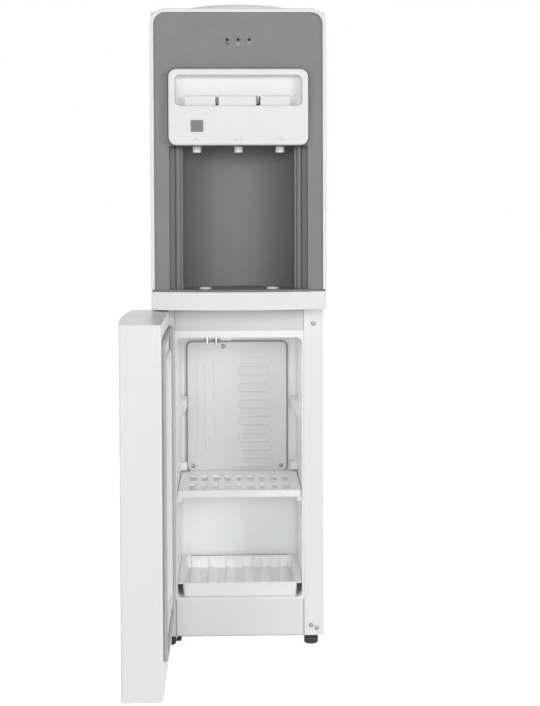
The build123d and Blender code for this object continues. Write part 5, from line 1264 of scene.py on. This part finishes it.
@dataclass
class TowerMarks:
    """The tower's small marks and trims.

    They are the signs under the lights, the dashes above the taps, the lights' lenses, and the
    collars round the finger holes of the drip grille.

    Attributes:
        light_z: Z of the lights.
        light_pitch: Distance between them.
        fascia_y: Y of the fascia's face.
        tap_y: Y of the tap panel's face.
        tap_z: Z of the dashes.
        ink: Thickness of the print.
        sign_drop: How far the signs' middles lie below the lights.
        hole: X and Y of the drip grille's finger holes.
        collar: Outer radius of the collar round a finger hole.
        collar_rise: Height of that collar.
        lens: Radius and height of a light's lens.
    """

    finishes: Finishes
    light_z: float = 1061.6 * MM
    light_pitch: float = 18.7 * MM
    fascia_y: float = 4.0 * MM
    tap_y: float = -18.0 * MM
    tap_z: float = 892.0 * MM
    ink: float = 0.06 * MM
    sign_drop: float = 7.0 * MM
    hole: tuple[float, float] = (57.75 * MM, 20.0 * MM)
    collar: float = 10.8 * MM
    collar_rise: float = 2.8 * MM
    lens: tuple[float, float] = (2.6 * MM, 0.8 * MM)

    def _stroke(self, work: bmesh.types.BMesh, points: Sequence[tuple[float, float]], wide: float,
                closed: bool) -> None:
        """Adds a flat stroke along points to the mesh.

        Args:
            work: The mesh under construction.
            points: X and Z along the stroke's middle.
            wide: Its width.
            closed: Whether its end joins its start.
        """
        count = len(points)
        last = count if closed else count - 1
        for index in range(last):
            ax, az = points[index]
            bx, bz = points[(index + 1) % count]
            along = Vector((bx - ax, 0.0, bz - az)).normalized() * wide / 2
            side = Vector((-along.z, 0.0, along.x))
            a, b = Vector((ax, 0.0, az)) - along, Vector((bx, 0.0, bz)) + along
            low = [work.verts.new(p) for p in (a - side, b - side, b + side, a + side)]
            high = [work.verts.new(p.co - Vector((0.0, self.ink, 0.0))) for p in low]
            work.faces.new(high)
            bridge(work, low, high)
            work.faces.new(low[::-1])

    def _signs(self) -> bpy.types.Object:
        """Makes a ring, a triangle and a house shape under the lights and returns them."""
        work = bmesh.new()
        size, wide = 2.3 * MM, 0.8 * MM
        ring = [(size * math.cos(a),
                 size * math.sin(a)) for a in (math.tau * step / 20 for step in range(20))]
        peak = [(0.0, size * 1.15), (-size * 1.1, -size), (size * 1.1, -size)]
        house = [(0.0, size * 1.2), (-size, size * 0.3), (-size, -size), (size, -size), (size, size * 0.3)]
        for slot, shape in zip((-1, 0, 1), (ring, peak, house)):
            x = slot * self.light_pitch
            placed = [(x + px, self.light_z - self.sign_drop + pz) for px, pz in shape]
            self._stroke(work, placed, wide, True)
        piece = from_bmesh("light_signs", work, smooth=False)
        return moved(piece, Matrix.Translation((0.0, self.fascia_y, 0.0)))

    def _lenses(self) -> bpy.types.Object:
        """Makes the dark domed lenses of the three lights and returns them."""
        wide, high = self.lens
        profile = [(0.0, -high), (wide, -high), (wide, 0.2 * high), (0.82 * wide, 0.7 * high),
                   (0.5 * wide, 0.94 * high), (0.0, high)]
        domes = []
        for slot in (-1, 0, 1):
            dome = moved(lathe("lens", profile, 28), Matrix.Rotation(math.pi / 2, 4, "X"))
            place = Matrix.Translation((slot * self.light_pitch, self.fascia_y, self.light_z))
            domes.append(moved(dome, place))
            self.finishes.dress(dome, "lens_black")
        piece = joined("light_lenses", domes)
        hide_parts("status_lights")
        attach(piece, "cabinet")
        return piece

    def _dashes(self) -> bpy.types.Object:
        """Makes a row of short dashes above each tap and returns them."""
        work = bmesh.new()
        pitch, half, wide = 2.6, 0.45 * MM, 0.9 * MM
        for x, count in ((-71.0, 3), (0.0, 6), (71.0, 4)):
            for step in range(count):
                middle = x * MM + (step - (count - 1) / 2) * pitch * MM
                ends = [(middle - half, self.tap_z), (middle + half, self.tap_z)]
                self._stroke(work, ends, wide, False)
        piece = from_bmesh("tap_dashes", work, smooth=False)
        return moved(piece, Matrix.Translation((0.0, self.tap_y, 0.0)))

    def _collars(self) -> bpy.types.Object:
        """Makes the white collars round the drip grille's finger holes and returns them."""
        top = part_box("drip_grille")[1][2]
        inner, outer, high = self.collar - 2.4 * MM, self.collar, self.collar_rise
        profile = [(inner, 0.0), (inner, high * 0.8), (inner + 0.4 * MM, high), (outer - 1.1 * MM, high),
                   (outer - 0.3 * MM, high * 0.7), (outer, 0.0), (inner, 0.0)]
        rings = []
        for side in (-1, 1):
            ring = lathe("finger_collar", profile, 40)
            rings.append(moved(ring, Matrix.Translation((side * self.hole[0], self.hole[1], top))))
            self.finishes.dress(ring, "white_gloss")
        piece = joined("finger_collars", rings)
        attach(piece, "drip_grille")
        return piece

    def build(self) -> None:
        """Builds the marks and sets them on the cabinet, and the collars on the drip grille."""
        for piece in (self._collars(), self._lenses()):
            tell(piece)
        for piece, finish in ((self._signs(), "print_white"), (self._dashes(), "print_grey")):
            self.finishes.dress(piece, finish)
            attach(piece, "cabinet")
            tell(piece)


# ---- screws in their places ----------------------------------------------------


@dataclass
class Fastenings:
    """Every screw that shows: in the cold plate, the right stile and the back panel.

    Attributes:
        plate_y: Y of the cold plate's face.
        stile_y: Y of the stile's face.
        back_y: Y of the back panel's face.
        back_x: X of the back panel's screws, left and right.
        back_scale: Their size beside the others.
        back_seed: Seed of their turns.
    """

    finishes: Finishes
    plate_y: float = 261.4 * MM
    stile_y: float = 72.0 * MM
    back_y: float = 372.0 * MM
    back_x: float = 131.5 * MM
    back_scale: float = 0.72
    back_seed: int = 7

    def _front(self) -> bpy.types.Object:
        """Makes the screws that the CAD node holds and returns them."""
        plate = [(-29.5, 512.0), (-87.0, 284.0), (80.0, 284.0)]
        stile = [(126.0, 34.5), (136.0, 29.5), (131.0, 572.0)]
        places = [(x * MM, self.plate_y, z * MM) for x, z in plate]
        places += [(x * MM, self.stile_y, z * MM) for x, z in stile]
        piece = ScrewSet(self.finishes).place("pan_screws", places)
        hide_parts("screws")
        return piece

    def _rear(self) -> bpy.types.Object:
        """Makes the small screws round the back panel and returns them."""
        heights = (60, 210, 400, 590, 780, 960, 1080)
        places = [(side * self.back_x, -self.back_y, z * MM) for side in (-1, 1) for z in heights]
        screws = ScrewSet(self.finishes)
        piece = screws.place("rear_screws", places, self.back_scale, self.back_seed)
        return moved(piece, Matrix.Rotation(math.pi, 4, "Z"))

    def build(self) -> None:
        """Builds both sets and sets them on the cabinet."""
        for piece in (self._front(), self._rear()):
            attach(piece, "cabinet")
            tell(piece)


# ---- beads: painted shadow lines, and a lip ------------------------------------


@dataclass
class GapBeads:
    """Thin beads and a lip: dark beads round the cabinet's front, on the tray's rim and round the
    tap panel, each a painted shadow line, and a white lip above the keys.

    Attributes:
        stile: X of a stile's inner edge.
        front: Y of the cabinet's front.
        low: Z of the bead along the kick panel's lower edge.
        high: Z at which the upright beads end.
        rail: Z of the bead along the rail above the opening.
        radius: Radius of a bead.
        sunk: How far a bead's middle lies behind the front.
        tray_half: Half the length of the tray's bead.
        tray_inset: How far that bead lies inside the tray's rear edge.
        tray_radius: Its radius.
        tap_gap: How far the tap panel's bead stands off its edge.
        tap_swell: How much thicker than the others that bead is.
        tap_corner: Radius of the tap panel's corners.
        tap_line: Y of the bead round the tap panel.
        lip: Y and Z of the white lip above the keys.
        lip_ends: X of its ends.
        lip_radius: Its radius.
    """

    finishes: Finishes
    stile: float = 113.5 * MM
    front: float = 72.0 * MM
    low: float = 17.2 * MM
    high: float = 601.0 * MM
    rail: float = 595.4 * MM
    radius: float = 0.5 * MM
    sunk: float = 0.25 * MM
    tray_half: float = 92.0 * MM
    tray_inset: float = 1.0 * MM
    tray_radius: float = 0.75 * MM
    tap_gap: float = 0.7 * MM
    tap_swell: float = 1.8
    tap_corner: float = 14.0 * MM
    tap_line: float = -12.5 * MM
    lip: tuple[float, float] = (6.45 * MM, 966.8 * MM)
    lip_ends: tuple[float, float] = (-91.0 * MM, 87.6 * MM)
    lip_radius: float = 1.25 * MM

    def _run(self, name: str, lines: Sequence[tuple[Point, Point]], radius: float,
             finish: str) -> bpy.types.Object:
        """Makes a bead along each line.

        Args:
            name: The piece's name.
            lines: The two ends of each bead's middle line.
            radius: The beads' radius.
            finish: The beads' finish.

        Returns:
            One mesh with every bead.
        """
        points = [point for line in lines for point in line]
        edges = [(2 * index, 2 * index + 1) for index in range(len(lines))]
        recipe = bent_tube("bead_run", self.finishes[finish], 8)
        return recipe.run(name, points, edges, {"Radius": radius, "Bend": radius})

    def _round_tap_panel(self) -> bpy.types.Object:
        """Makes the thin dark bead round the tap panel's edge, a painted shadow line, and returns it."""
        low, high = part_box("tap_panel")
        wide, tall = high[0] - low[0] + 2 * self.tap_gap, high[2] - low[2] + 2 * self.tap_gap
        middle = ((low[0] + high[0]) / 2, (low[2] + high[2]) / 2)
        outline = rounded_outline(wide, tall, self.tap_corner + self.tap_gap, 10)
        path = [(middle[0] + x, self.tap_line, middle[1] + z) for x, z in outline]
        recipe = bent_tube("tap_bead", self.finishes["dark_plastic"], 8)
        sizes = {"Radius": self.radius * self.tap_swell, "Bend": 0.0}
        return recipe.run("tap_panel_bead", *chain(path, closed=True), sizes)

    def build(self) -> None:
        """Builds the beads and sets them on the cabinet and the tray."""
        # Dark beads in the gaps round the cabinet's front, painted shadow lines.
        y = self.front + self.sunk
        lines = [((side * self.stile, y, self.low), (side * self.stile, y, self.high)) for side in (-1, 1)]
        for z in (self.low, self.rail):
            lines.append(((-self.stile, y, z), (self.stile, y, z)))
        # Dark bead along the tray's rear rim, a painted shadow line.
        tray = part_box("lower_tray")
        back, top = tray[1][1] - self.tray_inset, tray[1][2]
        rear = [((-self.tray_half, back, top), (self.tray_half, back, top))]
        lip = [((self.lip_ends[0], *self.lip), (self.lip_ends[1], *self.lip))]
        rows = ((self._run("cabinet_beads", lines, self.radius, "shadow_line_grey"), "cabinet", "gasket_grey"),
                (self._run("tray_bead", rear, self.tray_radius, "dark_plastic"), "lower_tray",
                 "dark_plastic"),
                (self._run("key_lip", lip, self.lip_radius, "white_gloss"), "cabinet", "white_gloss"),
                (self._round_tap_panel(), "cabinet", "dark_plastic"))
        for piece, body, slot in rows:
            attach(piece, body)
            tell(piece)


# ---- tray ribs -----------------------------------------------------------------


@dataclass
class TrayRibs:
    """The wide flat ribs that run along the lower tray's floor and up its rear wall.

    Attributes:
        count: Number of ribs.
        span: Width that the ribs share out.
        bed: Z of the tray's bed.
        front: Y at which a rib starts.
        turn: Y at which it starts to rise.
        bend: Radius of that bend.
        lean: Degrees that the rear wall leans back.
        top: Z at which a rib ends.
    """

    finishes: Finishes
    count: int = 6
    span: float = 199.04 * MM
    bed: float = 88.3 * MM
    front: float = 82.0 * MM
    turn: float = 252.0 * MM
    bend: float = 5.0 * MM
    lean: float = 6.8
    top: float = 109.6 * MM

    # Side and height of each point of a rib's section, in millimetres.
    SECTION = ((-9.0, -0.5), (-8.9, 0.6), (-8.3, 2.6), (-7.6, 3.1), (7.6, 3.1), (8.3, 2.6), (8.9, 0.6),
               (9.0, -0.5))

    def _stations(self) -> list[tuple[float, float, float, float]]:
        """Returns Y, Z, the turn of the face and the share of the full height along a rib."""
        rows = [(self.front, self.bed, 0.0, 0.1), (self.front + 4 * MM, self.bed, 0.0, 1.0),
                (self.turn, self.bed, 0.0, 1.0)]
        steep = math.radians(90.0 - self.lean)
        steps = 5
        for step in range(1, steps + 1):
            angle = steep * step / steps
            rows.append((self.turn + self.bend * math.sin(angle),
                         self.bed + self.bend * (1 - math.cos(angle)), angle, 1.0))
        y, z = rows[-1][:2]
        for rise, share in ((self.top - z - 2 * MM, 1.0), (self.top - z, 0.1)):
            rows.append((y + rise * math.tan(math.radians(self.lean)), z + rise, steep, share))
        return rows

    def one(self) -> bpy.types.Object:
        """Makes one rib on the middle plane and returns it."""
        work = bmesh.new()
        rings = []
        for y, z, angle, share in self._stations():
            ring = []
            for side, height in self.SECTION:
                lift = height * MM * (share if height > 0 else 1.0)
                ring.append(work.verts.new((side * MM, y - lift * math.sin(angle),
                                            z + lift * math.cos(angle))))
            rings.append(ring)
        for near, far in zip(rings, rings[1:]):
            bridge(work, near, far)
        work.faces.new(rings[0])
        work.faces.new(rings[-1])
        return from_bmesh("rib_pattern", work, smooth=False)

    def build(self) -> bpy.types.Object:
        """Builds the row of ribs, sets it on the tray and returns it."""
        pattern = self.one()
        recipe = Recipe("rib_row", {"Rib": bpy.types.Object, "Count": int, "Pitch": float})
        sheet, given = recipe.sheet, recipe.given
        step = sheet.add("ShaderNodeCombineXYZ", {0: given["Pitch"]})
        row = sheet.add("GeometryNodeMeshLine", {"Count": given["Count"], "Offset": step.outputs[0]})
        rib = sheet.add("GeometryNodeObjectInfo", {"Object": given["Rib"]})
        sockets = {"Points": row.outputs[0], "Instance": rib.outputs["Geometry"]}
        placed = sheet.add("GeometryNodeInstanceOnPoints", sockets)
        recipe.close(placed.outputs[0], self.finishes["rib_white"])
        pitch = self.span / self.count
        piece = recipe.run("tray_ribs", [(0.0, 0.0, 0.0)], [],
                           {"Rib": pattern, "Count": self.count, "Pitch": pitch})
        bpy.data.objects.remove(pattern)
        moved(piece, Matrix.Translation(((pitch - self.span) / 2, 0.0, 0.0)))
        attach(piece, "lower_tray")
        tell(piece)
        return piece


# ---- the whole object ----------------------------------------------------------


def dress_nodes(frame: dict, finishes: Finishes) -> None:
    """Gives each CAD node the finish of its slot in the record.

    Args:
        frame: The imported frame.
        finishes: The finishes.
    """
    slots = {row["node"]: row["material_slot"] for row in frame["record"]["subparts"]}
    for name, node in frame["nodes"].items():
        if name in REPLACED:
            continue
        finish = OWN_FINISH.get(name, slots[name])
        finishes.dress(node, finish)
        LOG.info("%s is dressed in %s", name, finish)


def main() -> None:
    """Builds the studio and every piece."""
    logging.basicConfig(level=logging.INFO, format="%(name)s: %(message)s")
    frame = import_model()
    Studio().build()
    finishes = Finishes()
    dress_nodes(frame, finishes)
    for part in (ColdPlate, DoorSeal, WireCondenser, TowerMarks, Fastenings, GapBeads, TrayRibs):
        part(finishes).build()


if __name__ == "__main__":
    main()
